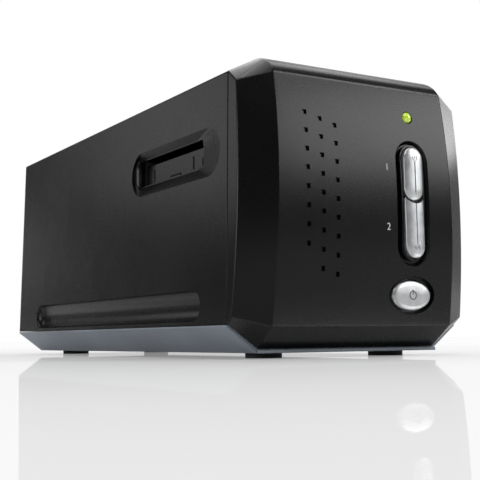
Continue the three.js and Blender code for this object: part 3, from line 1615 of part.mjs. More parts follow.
add('base_tray', baseTray(), 'tray');
add('top_cover', topCover(), 'casing');
add('front_bezel', frontBezel(), 'casing');
add('rear_panel', rearPanel(), 'casing');
for (const place of footPlaces()) add(place.name, foot(place), 'rubber');
add('case_screw_front_left', caseScrew(-coverPostX, coverPostYs[0]), 'steel');
add('case_screw_front_right', caseScrew(coverPostX, coverPostYs[0]), 'steel');
add('case_screw_rear_left', caseScrew(-coverPostX, coverPostYs[1]), 'steel');
add('case_screw_rear_right', caseScrew(coverPostX, coverPostYs[1]), 'steel');
add('chassis_plate', chassisPlate(), 'steel');
add('guide_rod_left', guideRod(-1), 'steel');
add('guide_rod_right', guideRod(1), 'steel');
add('scan_carriage', scanCarriage(), 'darkPlastic');
for (const { name, x, y } of bushPlaces()) add(name, bush(x, y), 'bronze');
add('lamp_housing', lampHousing(), 'whitePlastic');
add('lamp_diffuser', lampDiffuser(), 'glass');
add('scan_mirror', scanMirror(), 'glass');
add('lens_barrel', lensBarrel(), 'darkPlastic');
add('lens_glass', lensGlass(), 'glass');
add('sensor_board', sensorBoard(), 'board');
add('sensor_chip', sensorChip(), 'darkPlastic');
add('belt_clamp', beltClamp(), 'whitePlastic');
add('stepper_motor', stepperMotor(), 'steel');
add('motor_pinion', motorPinion(), 'bronze');
add('drive_gear', driveGear(), 'whitePlastic');
add('gear_stud', stud(driveX, driveY, plateTop - seatGap), 'steel');
add('idler_pulley', idlerPulley(), 'whitePlastic');
add('idler_bracket', idlerBracket(), 'steel');
add('tension_spring', tensionSpring(), 'steel');
add('drive_belt', driveBelt(), 'belt');
add('film_guide', filmGuide(), 'darkPlastic');
add('film_guide_cover', filmGuideCover(), 'darkPlastic');
add('dust_door_left', dustDoor(-1), 'casing');
add('dust_door_right', dustDoor(1), 'casing');
add('door_pin_left', doorPin(-1), 'steel');
add('door_pin_right', doorPin(1), 'steel');
add('door_spring_left', doorSpring(-1), 'steel');
add('door_spring_right', doorSpring(1), 'steel');
add('main_board', mainBoard(), 'board');
add('usb_socket', usbSocket(), 'steel');
add('power_jack', powerJack(), 'darkPlastic');
add('button_board', buttonBoard(), 'board');
add('switch_upper', tactSwitch(upperButtonZ()), 'darkPlastic');
add('switch_lower', tactSwitch(lowerButtonZ()), 'darkPlastic');
add('switch_power', tactSwitch(powerZ), 'darkPlastic');
add('upper_button', upperButton(), 'silver');
add('lower_button', lowerButton(), 'silver');
add('power_button', powerButton(), 'silver');
add('button_spring_upper', buttonSpring(upperButtonZ(), upperButtonFlange()), 'steel');
add('button_spring_lower', buttonSpring(lowerButtonZ(), lowerButtonFlange()), 'steel');
add('button_spring_power', buttonSpring(powerZ, powerButtonFlange()), 'steel');
add('led_lens', ledLens(), 'lamp');
add('button_cable', buttonCable(), 'belt');

export default scanner;
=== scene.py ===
"""Film negative scanner: the looks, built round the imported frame.

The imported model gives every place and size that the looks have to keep. This
file is laid out as an add-on and is run as a script: the panel lists one
operator for each piece or group of like pieces, and main() calls them in order.
"""

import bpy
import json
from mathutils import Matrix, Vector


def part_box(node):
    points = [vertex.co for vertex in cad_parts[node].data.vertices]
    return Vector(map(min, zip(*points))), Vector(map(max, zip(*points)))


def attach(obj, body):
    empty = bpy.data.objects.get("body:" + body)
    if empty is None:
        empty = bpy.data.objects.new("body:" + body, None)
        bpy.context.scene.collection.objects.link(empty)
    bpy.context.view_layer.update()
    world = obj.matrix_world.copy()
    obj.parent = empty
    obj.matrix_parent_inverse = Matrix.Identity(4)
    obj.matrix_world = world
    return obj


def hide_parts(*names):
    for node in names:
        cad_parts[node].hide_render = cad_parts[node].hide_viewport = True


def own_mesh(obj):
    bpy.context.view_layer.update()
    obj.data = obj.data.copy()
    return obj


bl_info = {
    "name": "Film Negative Scanner",
    "version": (1, 0, 0),
    "blender": (4, 5, 0),
    "location": "View3D > Sidebar > Scanner",
    "description": "Dresses the packed film negative scanner with moulded, rounded and finished pieces",
    "category": "Object",
}

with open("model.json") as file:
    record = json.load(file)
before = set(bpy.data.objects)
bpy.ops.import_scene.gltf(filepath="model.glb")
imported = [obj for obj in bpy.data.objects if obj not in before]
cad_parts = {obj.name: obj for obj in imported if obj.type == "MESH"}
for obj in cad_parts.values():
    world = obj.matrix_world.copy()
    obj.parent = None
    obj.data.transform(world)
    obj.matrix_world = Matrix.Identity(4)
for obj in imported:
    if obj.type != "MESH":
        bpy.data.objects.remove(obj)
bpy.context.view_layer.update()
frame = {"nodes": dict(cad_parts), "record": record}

import json
import math

import bmesh
import bpy
from bpy.props import FloatProperty, FloatVectorProperty, IntProperty, PointerProperty
from mathutils import Matrix, Vector

MM = 0.001
RIGHT_TURN = math.pi / 2
SMOOTH_ANGLE = math.radians(32)

# Places that come from the frame
CASE_LOW, CASE_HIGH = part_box("top_cover")
TRAY_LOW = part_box("base_tray")[0]
BEZEL_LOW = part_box("front_bezel")[0]
UPPER_LOW, UPPER_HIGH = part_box("upper_button")
POWER_LOW, POWER_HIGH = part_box("power_button")
LED_LOW, LED_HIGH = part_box("led_lens")
CONTROLS_X = (UPPER_LOW.x + UPPER_HIGH.x) / 2
POWER_Z = (POWER_LOW.z + POWER_HIGH.z) / 2
LED_Z = (LED_LOW.z + LED_HIGH.z) / 2
SEAM_Y = CASE_LOW.y - 0.3 * MM
FACE_FLAT_Y = BEZEL_LOW.y
BEFORE_FACE = FACE_FLAT_Y - 2 * MM

# Heights where the cover and the sides of the bezel start and the tray ends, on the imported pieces
COVER_BOTTOM = CASE_LOW.z + 4.7 * MM
BEZEL_SIDE_FOOT = BEZEL_LOW.z + 9.7 * MM
TRAY_RIM = CASE_LOW.z + 4.4 * MM

# Where the flange of each button lies behind the front, clear of the bezel's wall when pressed
UPPER_FLANGE_Y = FACE_FLAT_Y + 4.4 * MM
LOWER_FLANGE_Y = FACE_FLAT_Y + 4.75 * MM
POWER_FLANGE_Y = FACE_FLAT_Y + 7.95 * MM

# The dome, the flange and the stem that the three buttons share
DOME_RISE = 1.5 * MM
FLANGE_REACH = 1.2 * MM
FLANGE_THICKNESS = 1.5 * MM
STEM_RADIUS = 1.5 * MM

# Columns of dimples: distance from the edge of the face and height of the top one, and how many
DIMPLE_COLUMNS = ((15.2 * MM, 97.5 * MM, 8), (22.4 * MM, 95.4 * MM, 9), (29.6 * MM, 93.3 * MM, 9))

CORNERS = ("front_left", "front_right", "rear_left", "rear_right")
FEET = ["foot_" + corner for corner in CORNERS]
SCREWS = ["case_screw_" + corner for corner in CORNERS]
SIDES = ((-1, "left"), (1, "right"))


# Sizes and colours that a user would change


def length(name, description, metres):
    return FloatProperty(name=name, description=description, default=metres, unit="LENGTH", precision=4)


def factor(name, description, share):
    return FloatProperty(name=name, description=description, default=share, subtype="FACTOR")


def turn(name, description, degrees):
    return FloatProperty(name=name, description=description, default=math.radians(degrees), subtype="ANGLE")


class CaseSizes(bpy.types.PropertyGroup):
    """Sizes of the case: cover, bezel and tray."""

    half_width: length("Half width", "Half the width of the case at its widest", CASE_HIGH.x)
    top: length("Top", "Height of the flat top", CASE_HIGH.z)
    shoulder_drop: length("Shoulder drop", "Height of the sloped shoulder", 7.2 * MM)
    shoulder_run: length("Shoulder run", "Width of the sloped shoulder", 14.2 * MM)
    side_draft: length("Side draft", "How far a side leans in from the tray to the shoulder", 2 * MM)
    chamfer_run: length("Chamfer run", "Width of the sloped lower edge", 14 * MM)
    chamfer_top: length("Chamfer top", "Height at which the sloped lower edge ends", 12.6 * MM)
    wall: length("Wall", "Wall of the cover and the tray", 2.2 * MM)
    edge_radius: length("Edge radius", "Rounding of the moulded outer edges", 1.1 * MM)
    seam_gap: length("Seam gap", "Gap that shows between two mouldings", 0.3 * MM)


class FrontSizes(bpy.types.PropertyGroup):
    """Sizes of the bowed front."""

    wall: length("Wall", "Wall of the front bezel", 3 * MM)
    face_half_width: length("Face half width", "Half the width of the bowed face", 45.5 * MM)
    face_low: length("Face low edge", "Height of the lower edge of the face", 12.5 * MM)
    face_high: length("Face high edge", "Height of the upper edge of the face", 113 * MM)
    face_bow: length("Face bow", "Radius of the bow of the face", 281 * MM)
    face_crest_share: factor("Face crest", "Where the face bows out most, as a share of its height", 0.53)
    lip_back: length("Lip setback", "How far the lip stands behind the face", 8.3 * MM)
    lip_low: length("Lip low end", "Height at which the lip starts", 16.4 * MM)
    lip_high: length("Lip high end", "Height at which the lip ends", 109.2 * MM)
    lip_bow: length("Lip bow", "Radius of the bow of the lip", 383 * MM)
    lip_crest_share: factor("Lip crest", "Where the lip bows out most, as a share of its height", 0.605)
    lip_share: factor("Lip share", "Share of the skin between the seam and the lip", 0.34)
    bow_strips: IntProperty(
        name="Bow strips", description="Level strips that follow the bow", default=40, min=4)
    roll_fullness: factor("Roll fullness", "Share of the rolled upper edge that is round", 0.65)
    roll_steps: IntProperty(
        name="Roll steps", description="Steps of the rolled upper edge", default=12, min=3)
    edge_radius: length("Edge radius", "Rounding of the edges of the face and the lip", 0.7 * MM)


class ControlSizes(bpy.types.PropertyGroup):
    """Sizes of the buttons, the wells and the dimples of the front."""

    button_width: length("Button width", "Width of the two scan buttons", 10 * MM)
    upper_top: length("Upper button top", "Height at which the upper button ends", 87.4 * MM)
    upper_bottom: length("Upper button bottom", "Height at which the upper button starts", 64.605 * MM)
    lower_bottom: length("Lower button bottom", "Height at which the lower button starts", 40.4 * MM)
    part_gap: length("Bridge", "Width of the bridge between the two buttons", 1.3 * MM)
    fit: length("Fit", "Gap round a button", 0.4 * MM)
    well_width: length("Well width", "Width of the well of the scan buttons", 16.2 * MM)
    well_top: length("Well top", "Height at which the well ends", 89.8 * MM)
    well_bottom: length("Well bottom", "Height at which the well starts", 37.6 * MM)
    well_depth: length("Well depth", "Depth of the well below the crest of the face", 2 * MM)
    well_flare: length("Well flare", "How far the wall of the well leans, out and in", 0.7 * MM)
    rim_width: length("Rim width", "Width of the raised rim round the scan buttons", 0.8 * MM)
    rim_drop: length("Rim drop", "How far the rim lies below the crest of the face", 0.15 * MM)
    power_width: length("Power button width", "Width of the oval power button", 21 * MM)
    power_height: length("Power button height", "Height of the oval power button", 12.6 * MM)
    power_margin: length("Power well margin", "Width of the dark well round the power button", 1.7 * MM)
    power_depth: length("Power well depth", "Depth of the well of the power button", 1.8 * MM)
    led_radius: length("Lamp radius", "Radius of the lamp window", 2.4 * MM)
    dimple_size: length("Dimple size", "Side of a square dimple", 2 * MM)
    dimple_depth: length("Dimple depth", "Depth of a square dimple", 1.1 * MM)
    dimple_pitch: length("Dimple pitch", "Distance between dimples of one column", 7.55 * MM)
    mouth_radius: length("Mouth radius", "Rounding of the mouths of wells and holes", 0.3 * MM)


class PocketSizes(bpy.types.PropertyGroup):
    """Sizes of the film slots, their dished pockets and the finger scoops."""

    slot_front: length("Slot front", "Where the film slot starts, along the case", -90.1 * MM)
    slot_rear: length("Slot rear", "Where the film slot ends, along the case", -29.1 * MM)
    slot_low: length("Slot low", "Height of the lower edge of the slot", 79.05 * MM)
    slot_high: length("Slot high", "Height of the upper edge of the slot", 91.05 * MM)
    pocket_front: length("Pocket front", "Where the dished pocket starts, along the case", -109.0 * MM)
    pocket_rear: length("Pocket rear", "Where the dished pocket ends, along the case", -25.2 * MM)
    pocket_low: length("Pocket low", "Height of the lower edge of the pocket", 73.55 * MM)
    pocket_high: length("Pocket high", "Height of the upper edge of the pocket", 94.15 * MM)
    floor_x: length("Pocket floor", "How far from the middle of the case the pocket ends", 54.58 * MM)
    wall: length("Pocket wall", "Wall behind the pocket", 1.8 * MM)
    scoop_front: length("Scoop front", "Where the finger scoop starts", -93.6 * MM)
    scoop_rear: length("Scoop rear", "Where the finger scoop ends", 102.4 * MM)
    scoop_height: length("Scoop height", "Height of the middle of the scoop", 21.4 * MM)
    scoop_radius: length("Scoop radius", "Half the height of the scoop", 6.4 * MM)
    scoop_depth: length("Scoop depth", "Depth of the scoop", 3 * MM)
    scoop_wall: length("Scoop wall", "Wall behind the scoop", 1.4 * MM)
    mouth_radius: length("Mouth radius", "Rounding of the mouths of pockets and scoops", 0.35 * MM)


class DoorSizes(bpy.types.PropertyGroup):
    """Sizes of the dust doors, measured from the pin that they swing on."""

    face: length("Door face", "How far the outer face lies outside the pin", 1.65 * MM)
    thickness: length("Door thickness", "Thickness of the blade", 1.4 * MM)
    height: length("Door height", "Height of the blade above the pin", 9.2 * MM)
    barrel: length("Barrel radius", "Radius of the barrel round the pin", 1.6 * MM)
    rib_width: length("Rib width", "Width of the upright ribs", 0.8 * MM)
    rib_rise: length("Rib rise", "How far the ribs stand out of the blade", 0.35 * MM)
    swing_wire: length("Spring wire", "Radius of the wire of the door springs", 0.25 * MM)
    spring_room: length("Spring room", "Radius of the room for the spring in the barrel", 1.97 * MM)
    spring_half: length("Spring half", "Half the length of the room for the spring", 4.3 * MM)
    spring_skin: length("Spring skin", "Wall round the room for the spring", 0.18 * MM)


class StageSettings(bpy.types.PropertyGroup):
    """Camera, lamps and floor."""

    eye: FloatVectorProperty(
        name="Eye", description="Where the camera stands",
        default=(-0.24803, -0.43985, 0.00816), size=3, subtype="TRANSLATION", unit="LENGTH")
    yaw: turn("Yaw", "Turn of the camera from +Y towards +X", 30.80)
    pitch: turn("Pitch", "How far the camera looks up", 8.12)
    roll: turn("Roll", "Tilt of the camera about its own axis", -0.64)
    lens: FloatProperty(
        name="Lens", description="Focal length in millimetres on a 36 mm sensor",
        default=72.66, subtype="DISTANCE_CAMERA")
    shift_x: factor("Shift X", "Sideways shift of the picture, as a share of its width", 0.0104)
    shift_y: factor("Shift Y", "Upward shift of the picture, as a share of its width", -0.0833)
    floor_size: FloatProperty(name="Floor size", description="Side of the floor", default=12, unit="LENGTH")
    floor_mirror: factor("Floor mirror", "Share of the mirrored picture in the floor", 0.42)
    floor_paper: factor("Floor paper", "Share of paper white in the floor under the scanner", 0.4)


# Modelling helpers


def free_hands():
    """Leave edit mode and let go of everything."""
    if bpy.context.object and bpy.context.object.mode != "OBJECT":
        bpy.ops.object.mode_set(mode="OBJECT")
    bpy.ops.object.select_all(action="DESELECT")


def hold(piece):
    """Make a piece the only selected and the active one."""
    free_hands()
    piece.select_set(True)
    bpy.context.view_layer.objects.active = piece
    return piece


class Editing:
    """Edit mode on one piece, with nothing selected at the start."""

    def __init__(self, piece, mode):
        self.piece, self.mode = piece, mode

    def __enter__(self):
        hold(self.piece)
        bpy.ops.object.mode_set(mode="EDIT")
        bpy.ops.mesh.select_mode(type=self.mode)
        bpy.ops.mesh.select_all(action="DESELECT")
        return self

    def __exit__(self, *trouble):
        bpy.ops.object.mode_set(mode="OBJECT")

    def pick(self, test, kind="edges"):
        """Select the edges whose ends pass a test, or the faces whose middle and normal do."""
        mesh = bmesh.from_edit_mesh(self.piece.data)
        found = 0
        for item in getattr(mesh, kind):
            middle = (item.calc_center_median(), item.normal) if kind == "faces" else ()
            if test(*(middle or [v.co for v in item.verts])):
                item.select = True
                found += 1
        mesh.select_flush(True)
        bmesh.update_edit_mesh(self.piece.data)
        if not found:
            raise RuntimeError(f"nothing to pick on {self.piece.name}")

    def place_selected(self, points):
        """Move the selected points, in the order of their numbers, to the given places."""
        mesh = bmesh.from_edit_mesh(self.piece.data)
        for vertex, point in zip([v for v in mesh.verts if v.select], points, strict=True):
            vertex.co = point
        bmesh.update_edit_mesh(self.piece.data)

    def close_up(self):
        """Merge the points that coincide and turn all faces outwards."""
        bpy.ops.mesh.select_all(action="SELECT")
        bpy.ops.mesh.remove_doubles(threshold=0.002 * MM)
        bpy.ops.mesh.normals_make_consistent(inside=False)


def settle(piece):
    """Put a piece's place, turn and size into its mesh."""
    hold(piece)
    bpy.ops.object.transform_apply(location=True, rotation=True, scale=True)
    return piece


def modify(piece, kind, **settings):
    """Add one modifier and apply it."""
    hold(piece)
    modifier = piece.modifiers.new(kind.title(), kind)
    for name, value in settings.items():
        setattr(modifier, name, value)
    bpy.ops.object.modifier_apply(modifier=modifier.name)
    return piece


def cut(piece, *cutters, operation="DIFFERENCE"):
    """Cut other pieces out of this one. They are used up."""
    for cutter in cutters:
        modify(piece, "BOOLEAN", operation=operation, solver="EXACT", object=cutter)
        bpy.data.objects.remove(cutter, do_unlink=True)
    return piece


def weld(piece, *others):
    """Join other pieces on to this one. They are used up."""
    return cut(piece, *others, operation="UNION")


AXES = {"x": (1, 2, 0), "y": (0, 2, 1), "z": (0, 1, 2)}


def in_space(axis, across, up, level):
    """A point from two flat coordinates and a level along an axis."""
    order = AXES[axis]
    point = [0.0, 0.0, 0.0]
    point[order[0]], point[order[1]], point[order[2]] = across, up, level
    return Vector(point)


def loft(name, rings):
    """A solid through rings of points: a filled circle that is extruded from ring to ring."""
    free_hands()
    bpy.ops.mesh.primitive_circle_add(vertices=len(rings[0]), fill_type="NGON")
    piece = bpy.context.object
    piece.name = name
    with Editing(piece, "VERT") as pen:
        bpy.ops.mesh.select_all(action="SELECT")
        pen.place_selected(rings[0])
        for ring in rings[1:]:
            bpy.ops.mesh.extrude_region_move()
            pen.place_selected(ring)
        pen.close_up()
    return piece


def prism(name, outline, axis, levels):
    """A solid that runs along an axis, with one outline or one for each level."""
    outlines = [outline] * len(levels) if isinstance(outline[0], tuple) else outline
    return loft(name, [[in_space(axis, a, b, level) for a, b in points]
                       for points, level in zip(outlines, levels, strict=True)])


def turned(name, middle, profile, steps, axis="y"):
    """A round solid along an axis, from pairs of a level and a radius."""
    levels, radii = zip(*profile, strict=True)
    return prism(name, [oval_outline(middle, radius, radius, steps) for radius in radii], axis, levels)


def rod(name, middle, radius, start, end, steps, axis="y"):
    return turned(name, middle, [(start, radius), (end, radius)], steps, axis)


def block(name, low, high, levels, axis="y"):
    """A solid with a rectangle as its outline, from one flat corner to the other."""
    return prism(name, block_outline(*low, *high), axis, levels)


def round_outline(middle, span, width, steps=12, upright=False):
    """A strip with round ends, as flat points."""
    radius = width / 2
    straight = (span - width) / 2
    points = []
    for side in (1, -1):
        for step in range(steps + 1):
            angle = -RIGHT_TURN + math.pi * step / steps
            points.append((side * (straight + radius * math.cos(angle)), side * radius * math.sin(angle)))
    if upright:
        points = [(-across, along) for along, across in points]
    return [(middle[0] + a, middle[1] + b) for a, b in points]


def oval_outline(middle, half_a, half_b, steps=48):
    turns = [math.tau * k / steps for k in range(steps)]
    return [(middle[0] + half_a * math.cos(t), middle[1] + half_b * math.sin(t)) for t in turns]


def block_outline(low_a, low_b, high_a, high_b):
    return [(low_a, low_b), (high_a, low_b), (high_a, high_b), (low_a, high_b)]


def filleted(outline, radii, steps=4):
    """An outline with an arc of its own radius at each corner that has one."""
    points = []
    for index, (corner, radius) in enumerate(zip(outline, radii, strict=True)):
        here = Vector(corner)
        if radius <= 0:
            points.append(tuple(here))
            continue
        back = (Vector(outline[index - 1]) - here).normalized()
        ahead = (Vector(outline[(index + 1) % len(outline)]) - here).normalized()
        half = back.angle(ahead) / 2
        reach = radius / math.tan(half)
        middle = here + (back + ahead).normalized() * radius / math.sin(half)
        start, end = here + back * reach - middle, here + ahead * reach - middle
        sweep = start.angle_signed(end)
        for step in range(steps + 1):
            share = sweep * step / steps
            points.append((middle.x + start.x * math.cos(share) + start.y * math.sin(share),
                           middle.y + start.y * math.cos(share) - start.x * math.sin(share)))
    return points


def rounded(piece, radius, segments=3, angle=30):
    """Round every edge that turns by more than an angle."""
    return modify(piece, "BEVEL", width=radius, segments=segments, limit_method="ANGLE",
                  angle_limit=math.radians(angle), use_clamp_overlap=True, harden_normals=False)


def on_outline(outline, axes="xz", tolerance=0.05 * MM):
    """A test for points that lie on a closed outline, seen in a plane of two axes."""
    corners = [Vector(point) for point in outline]

    def near(point):
        place = getattr(point, axes)
        for start, end in zip(corners, corners[1:] + corners[:1], strict=True):
            along = end - start
            share = max(0.0, min(1.0, (place - start).dot(along) / max(along.length_squared, 1e-18)))
            if (start + along * share - place).length < tolerance:
                return True
        return False

    return near


def round_mouths(piece, mouths, radius, segments, allowed):
    """Round the edges that lie on one of some outlines, where they are allowed."""
    with Editing(piece, "EDGE") as pen:
        pen.pick(lambda a, b: allowed(a, b) and any(near(a) and near(b) for near in mouths))
        bpy.ops.mesh.bevel(offset=radius, segments=segments, affect="EDGES", clamp_overlap=True)


def smooth(piece, angle=SMOOTH_ANGLE):
    hold(piece)
    bpy.ops.object.shade_smooth_by_angle(angle=angle, keep_sharp_edges=False)
    return piece


def polished(piece, angle=SMOOTH_ANGLE):
    """Smooth shading whose normals follow the larger faces."""
    smooth(piece, angle)
    return modify(piece, "WEIGHTED_NORMAL", keep_sharp=True, weight=60)


def coat(mesh, material):
    """Give a mesh one material on all its faces."""
    mesh.materials.clear()
    mesh.materials.append(material)
    for face in mesh.polygons:
        face.material_index = 0


def dress(piece, look, body, *nodes, slot=None):
    """Give a finished piece its material and its body, and hide the nodes it stands for. The slot is not
    used.
    """
    coat(piece.data, MATERIALS[look])
    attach(piece, body)
    slot or look
    if nodes:
        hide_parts(*nodes)
    free_hands()


def mixed(low, high, share):
    return low + (high - low) * share


# Materials


class Nodes:
    """A node tree whose nodes are made, set and linked in one step."""

    def __init__(self, holder):
        holder.use_nodes = True
        self.tree = holder.node_tree

    def feed(self, value, socket):
        if isinstance(value, bpy.types.NodeSocket):
            self.tree.links.new(value, socket)
        else:
            socket.default_value = value

    def node(self, kind, inputs=(), output=0, **values):
        made = self.tree.nodes.new(kind)
        for name, value in values.items():
            setattr(made, name, value)
        for name, value in dict(inputs).items():
            self.feed(value, made.inputs[name])
        return made.outputs[output]

    def math(self, operation, first, second=0.0):
        return self.node("ShaderNodeMath", {0: first, 1: second}, operation=operation)

    def ramp(self, value, low, high, start, end, kind="LINEAR"):
        """A value moved from low..high to start..end."""
        names = ("Value", "From Min", "From Max", "To Min", "To Max")
        return self.node("ShaderNodeMapRange", dict(zip(names, (value, low, high, start, end), strict=True)),
                         interpolation_type=kind)


class Finish(Nodes):
    """One procedural material: a Principled shader fed by patterns on Object coordinates."""

    def __init__(self, name, **values):
        self.material = bpy.data.materials.new(name)
        super().__init__(self.material)
        self.sockets = self.tree.nodes["Principled BSDF"].inputs
        self.place = self.node("ShaderNodeTexCoord", output="Object")
        for socket, value in values.items():
            self.sockets[socket.replace("_", " ")].default_value = value

    def mapped(self, stretch=(1, 1, 1)):
        return self.node("ShaderNodeMapping", {"Scale": stretch, "Vector": self.place})

    def noise(self, size, detail=3.0, stretch=(1, 1, 1)):
        """Noise whose patches are about this many metres across."""
        return self.node("ShaderNodeTexNoise", {"Scale": 1 / size, "Detail": detail,
                                                "Vector": self.mapped(stretch)}, "Fac")

    def grains(self, size):
        """Cells about this many metres across, as distance."""
        return self.node("ShaderNodeTexVoronoi", {"Scale": 1 / size, "Vector": self.mapped()}, "Distance")

    def scaled(self, value, low, high, start=0.0, end=1.0):
        """A value moved from start..end to low..high."""
        return self.ramp(value, start, end, low, high)

    def colours(self, value, *stops):
        """Colours along a value: pairs of a place and a colour."""
        output = self.node("ShaderNodeValToRGB", {"Fac": value})
        elements = output.node.color_ramp.elements
        for _ in range(len(stops) - 2):
            elements.new(0.5)
        for element, (place, colour) in zip(elements, stops, strict=True):
            element.position = place
            element.color = (*colour, 1)
        return output

    def tints(self, value, colour, *stops):
        """One colour, darker or lighter along a value: pairs of a place and a factor."""
        return self.colours(value, *[(place, [channel * share for channel in colour])
                                     for place, share in stops])

    def surface(self, colour, roughness, height=None, depth=0.0, strength=1.0):
        """Feed the shader, with a bump where there is a height, and hand over the material."""
        self.feed(colour, self.sockets["Base Color"])
        self.feed(roughness, self.sockets["Roughness"])
        if height is not None:
            bump = self.node("ShaderNodeBump", {"Strength": strength, "Distance": depth, "Height": height})
            self.feed(bump, self.sockets["Normal"])
        return self.material


def moulded_plastic(name, colour, roughness, grain_size, grain_depth, **values):
    """Moulded plastic with a fine eroded grain, faint flow marks and handling wear in its gloss."""
    finish = Finish(name, **values)
    cloud, grain = finish.noise(38 * MM, 4), finish.noise(grain_size, 2)
    wear = finish.math("ADD", finish.scaled(cloud, -0.035, 0.035), finish.scaled(grain, -0.03, 0.03))
    return finish.surface(finish.tints(cloud, colour, (0.3, 0.86), (0.7, 1.14)),
                          finish.math("ADD", wear, roughness), grain, grain_depth)


def silver_paint(name, colour):
    """Metallic paint: small bright flakes under a thin clear coat."""
    finish = Finish(name, Metallic=0.82, Coat_Weight=0.25, Coat_Roughness=0.12)
    flakes = finish.grains(0.16 * MM)
    sparkle = finish.math("ADD", finish.scaled(flakes, 0.35, -0.1), finish.noise(3 * MM, 3))
    return finish.surface(finish.tints(sparkle, colour, (0.3, 0.84), (0.9, 1.1)),
                          finish.scaled(sparkle, 0.3, 0.42, 0.3, 0.9), flakes, 0.012 * MM, 0.5)


def brushed_metal(name, colour, roughness):
    """Metal with fine drawing marks along Y."""
    finish = Finish(name, Metallic=1.0)
    marks = finish.noise(0.35 * MM, 3, (1, 0.03, 1))
    worn = finish.math("MULTIPLY", marks, finish.noise(14 * MM, 3))
    return finish.surface(finish.tints(worn, colour, (0.1, 0.74), (0.5, 1.12)),
                          finish.scaled(marks, roughness - 0.08, roughness + 0.1), marks, 0.01 * MM, 0.6)


def circuit_board(name, mask, copper):
    """Solder mask with raised tracks, pads and specks of print."""
    finish = Finish(name, Coat_Weight=0.3, Coat_Roughness=0.25)
    tracks = finish.node("ShaderNodeTexBrick", {
        "Scale": 420, "Mortar Size": 0.06, "Mortar Smooth": 0.2, "Vector": finish.mapped((1, 0.35, 1))},
        "Fac", offset=0.37, squash=1.7)
    dots = finish.scaled(finish.grains(2.2 * MM), 1, 0, 0.1, 0.14)
    raised = finish.math("MAXIMUM", tracks, dots)
    light_mask = [channel * 1.7 for channel in mask]
    return finish.surface(finish.colours(raised, (0.2, mask), (0.6, light_mask), (0.95, copper)),
                          finish.scaled(finish.noise(2 * MM), 0.35, 0.5), raised, 0.03 * MM, 0.6)


def lit_lens(name, deep, bright):
    """A light pipe that glows, in patches from a deep to a bright colour."""
    finish = Finish(name, Coat_Weight=1.0, Coat_Roughness=0.05, Emission_Strength=0.12)
    cells, cloud = finish.grains(0.7 * MM), finish.noise(1.4 * MM, 2)
    glow = finish.colours(finish.math("MULTIPLY", cells, cloud), (0.05, deep), (0.4, bright))
    finish.feed(glow, finish.sockets["Emission Color"])
    return finish.surface(glow, finish.scaled(cloud, 0.1, 0.3), cells, 0.03 * MM, 0.4)


def dusty(name, colour, size, detail, stops, gloss, pores=0.0, depth=0.0, strength=0.5, **values):
    """A surface with dust or specks in its colour and its gloss, and a bump of pores or of the dust."""
    finish = Finish(name, **values)
    dust = finish.noise(size, detail)
    height = finish.grains(pores) if pores else (dust if depth else None)
    return finish.surface(finish.tints(dust, colour, *stops), finish.scaled(dust, *gloss), height, depth,
                          strength)


def soft_rubber(name, colour, roughness):
    return dusty(name, colour, 4 * MM, 5, ((0.35, 0.8), (0.75, 1.5)), (roughness - 0.08, roughness + 0.08),
                 0.5 * MM, 0.03 * MM, Specular_IOR_Level=0.3)


def printed_ink(name, colour):
    return dusty(name, colour, 0.12 * MM, 3, ((0.3, 0.8), (0.7, 1)), (0.45, 0.65), 0, 0.01 * MM, 0.4,
                 Specular_IOR_Level=0.3)


def flat_cable(name, colour):
    """Ribbon cable: side by side cores under one skin, painted darker in the grooves between the cores as
    shade.
    """
    finish = Finish(name)
    cores = finish.node("ShaderNodeTexWave", {"Scale": 240, "Distortion": 0.2, "Vector": finish.place}, "Fac",
                        wave_type="BANDS", bands_direction="X")
    # Painted shade: the skin's colour goes darker where the bump of the cores is low, in the grooves.
    return finish.surface(finish.tints(cores, colour, (0.1, 0.6), (0.8, 1)),
                          finish.scaled(finish.noise(1 * MM), 0.4, 0.55), cores, 0.15 * MM, 0.7)


CASING_COLOUR = (0.0032, 0.0033, 0.0036)
TRAY_COLOUR = (0.21, 0.235, 0.27)
SILVER_COLOUR = (0.52, 0.53, 0.54)

# Every material, by the record's slot or by its own name
MATERIALS = {
    "casing": moulded_plastic("satin_black_casing", CASING_COLOUR, 0.27, 0.42 * MM, 0.007 * MM,
                              Specular_IOR_Level=0.22),
    "tray": moulded_plastic("blue_grey_tray", TRAY_COLOUR, 0.42, 0.5 * MM, 0.012 * MM,
                            Specular_IOR_Level=0.15),
    "silver": silver_paint("silver_paint", SILVER_COLOUR),
    "rubber": soft_rubber("black_rubber", (0.012, 0.012, 0.013), 0.62),
    "steel": brushed_metal("plated_steel", (0.42, 0.43, 0.45), 0.34),
    "dark_plastic": moulded_plastic("black_matte_plastic", (0.02, 0.021, 0.023), 0.55, 0.3 * MM, 0.02 * MM),
    "white_plastic": moulded_plastic("natural_white_plastic", (0.62, 0.62, 0.58), 0.42, 0.4 * MM, 0.01 * MM),
    "bronze": brushed_metal("sintered_bronze", (0.42, 0.24, 0.1), 0.42),
    "board": circuit_board("green_board", (0.012, 0.09, 0.04), (0.5, 0.3, 0.12)),
    "lamp": lit_lens("yellow_green_lens", (0.16, 0.34, 0.0), (0.72, 0.95, 0.06)),
    "glass": dusty("clear_glass", (0.85, 0.9, 0.92), 1.5 * MM, 5, ((0.4, 1), (0.8, 0.9)),
                   (0.02, 0.12, 0.4, 0.8), Transmission_Weight=0.9, IOR=1.5),
    "mirror": dusty("front_silvered_mirror", (0.85, 0.86, 0.88), 0.8 * MM, 5, ((0.4, 1), (0.9, 0.85)),
                    (0.02, 0.09, 0.4, 0.9), Metallic=1.0),
    "belt": soft_rubber("belt_rubber", (0.015, 0.015, 0.016), 0.5),
    "ribbon": flat_cable("ribbon_cable", (0.32, 0.33, 0.35)),
    "print": printed_ink("light_grey_print", (0.6, 0.61, 0.62)),
    "ink": printed_ink("dark_grey_ink", (0.05, 0.05, 0.055)),
}
NODE_MATERIALS = {"button_cable": "ribbon"}


# Shapes of the case


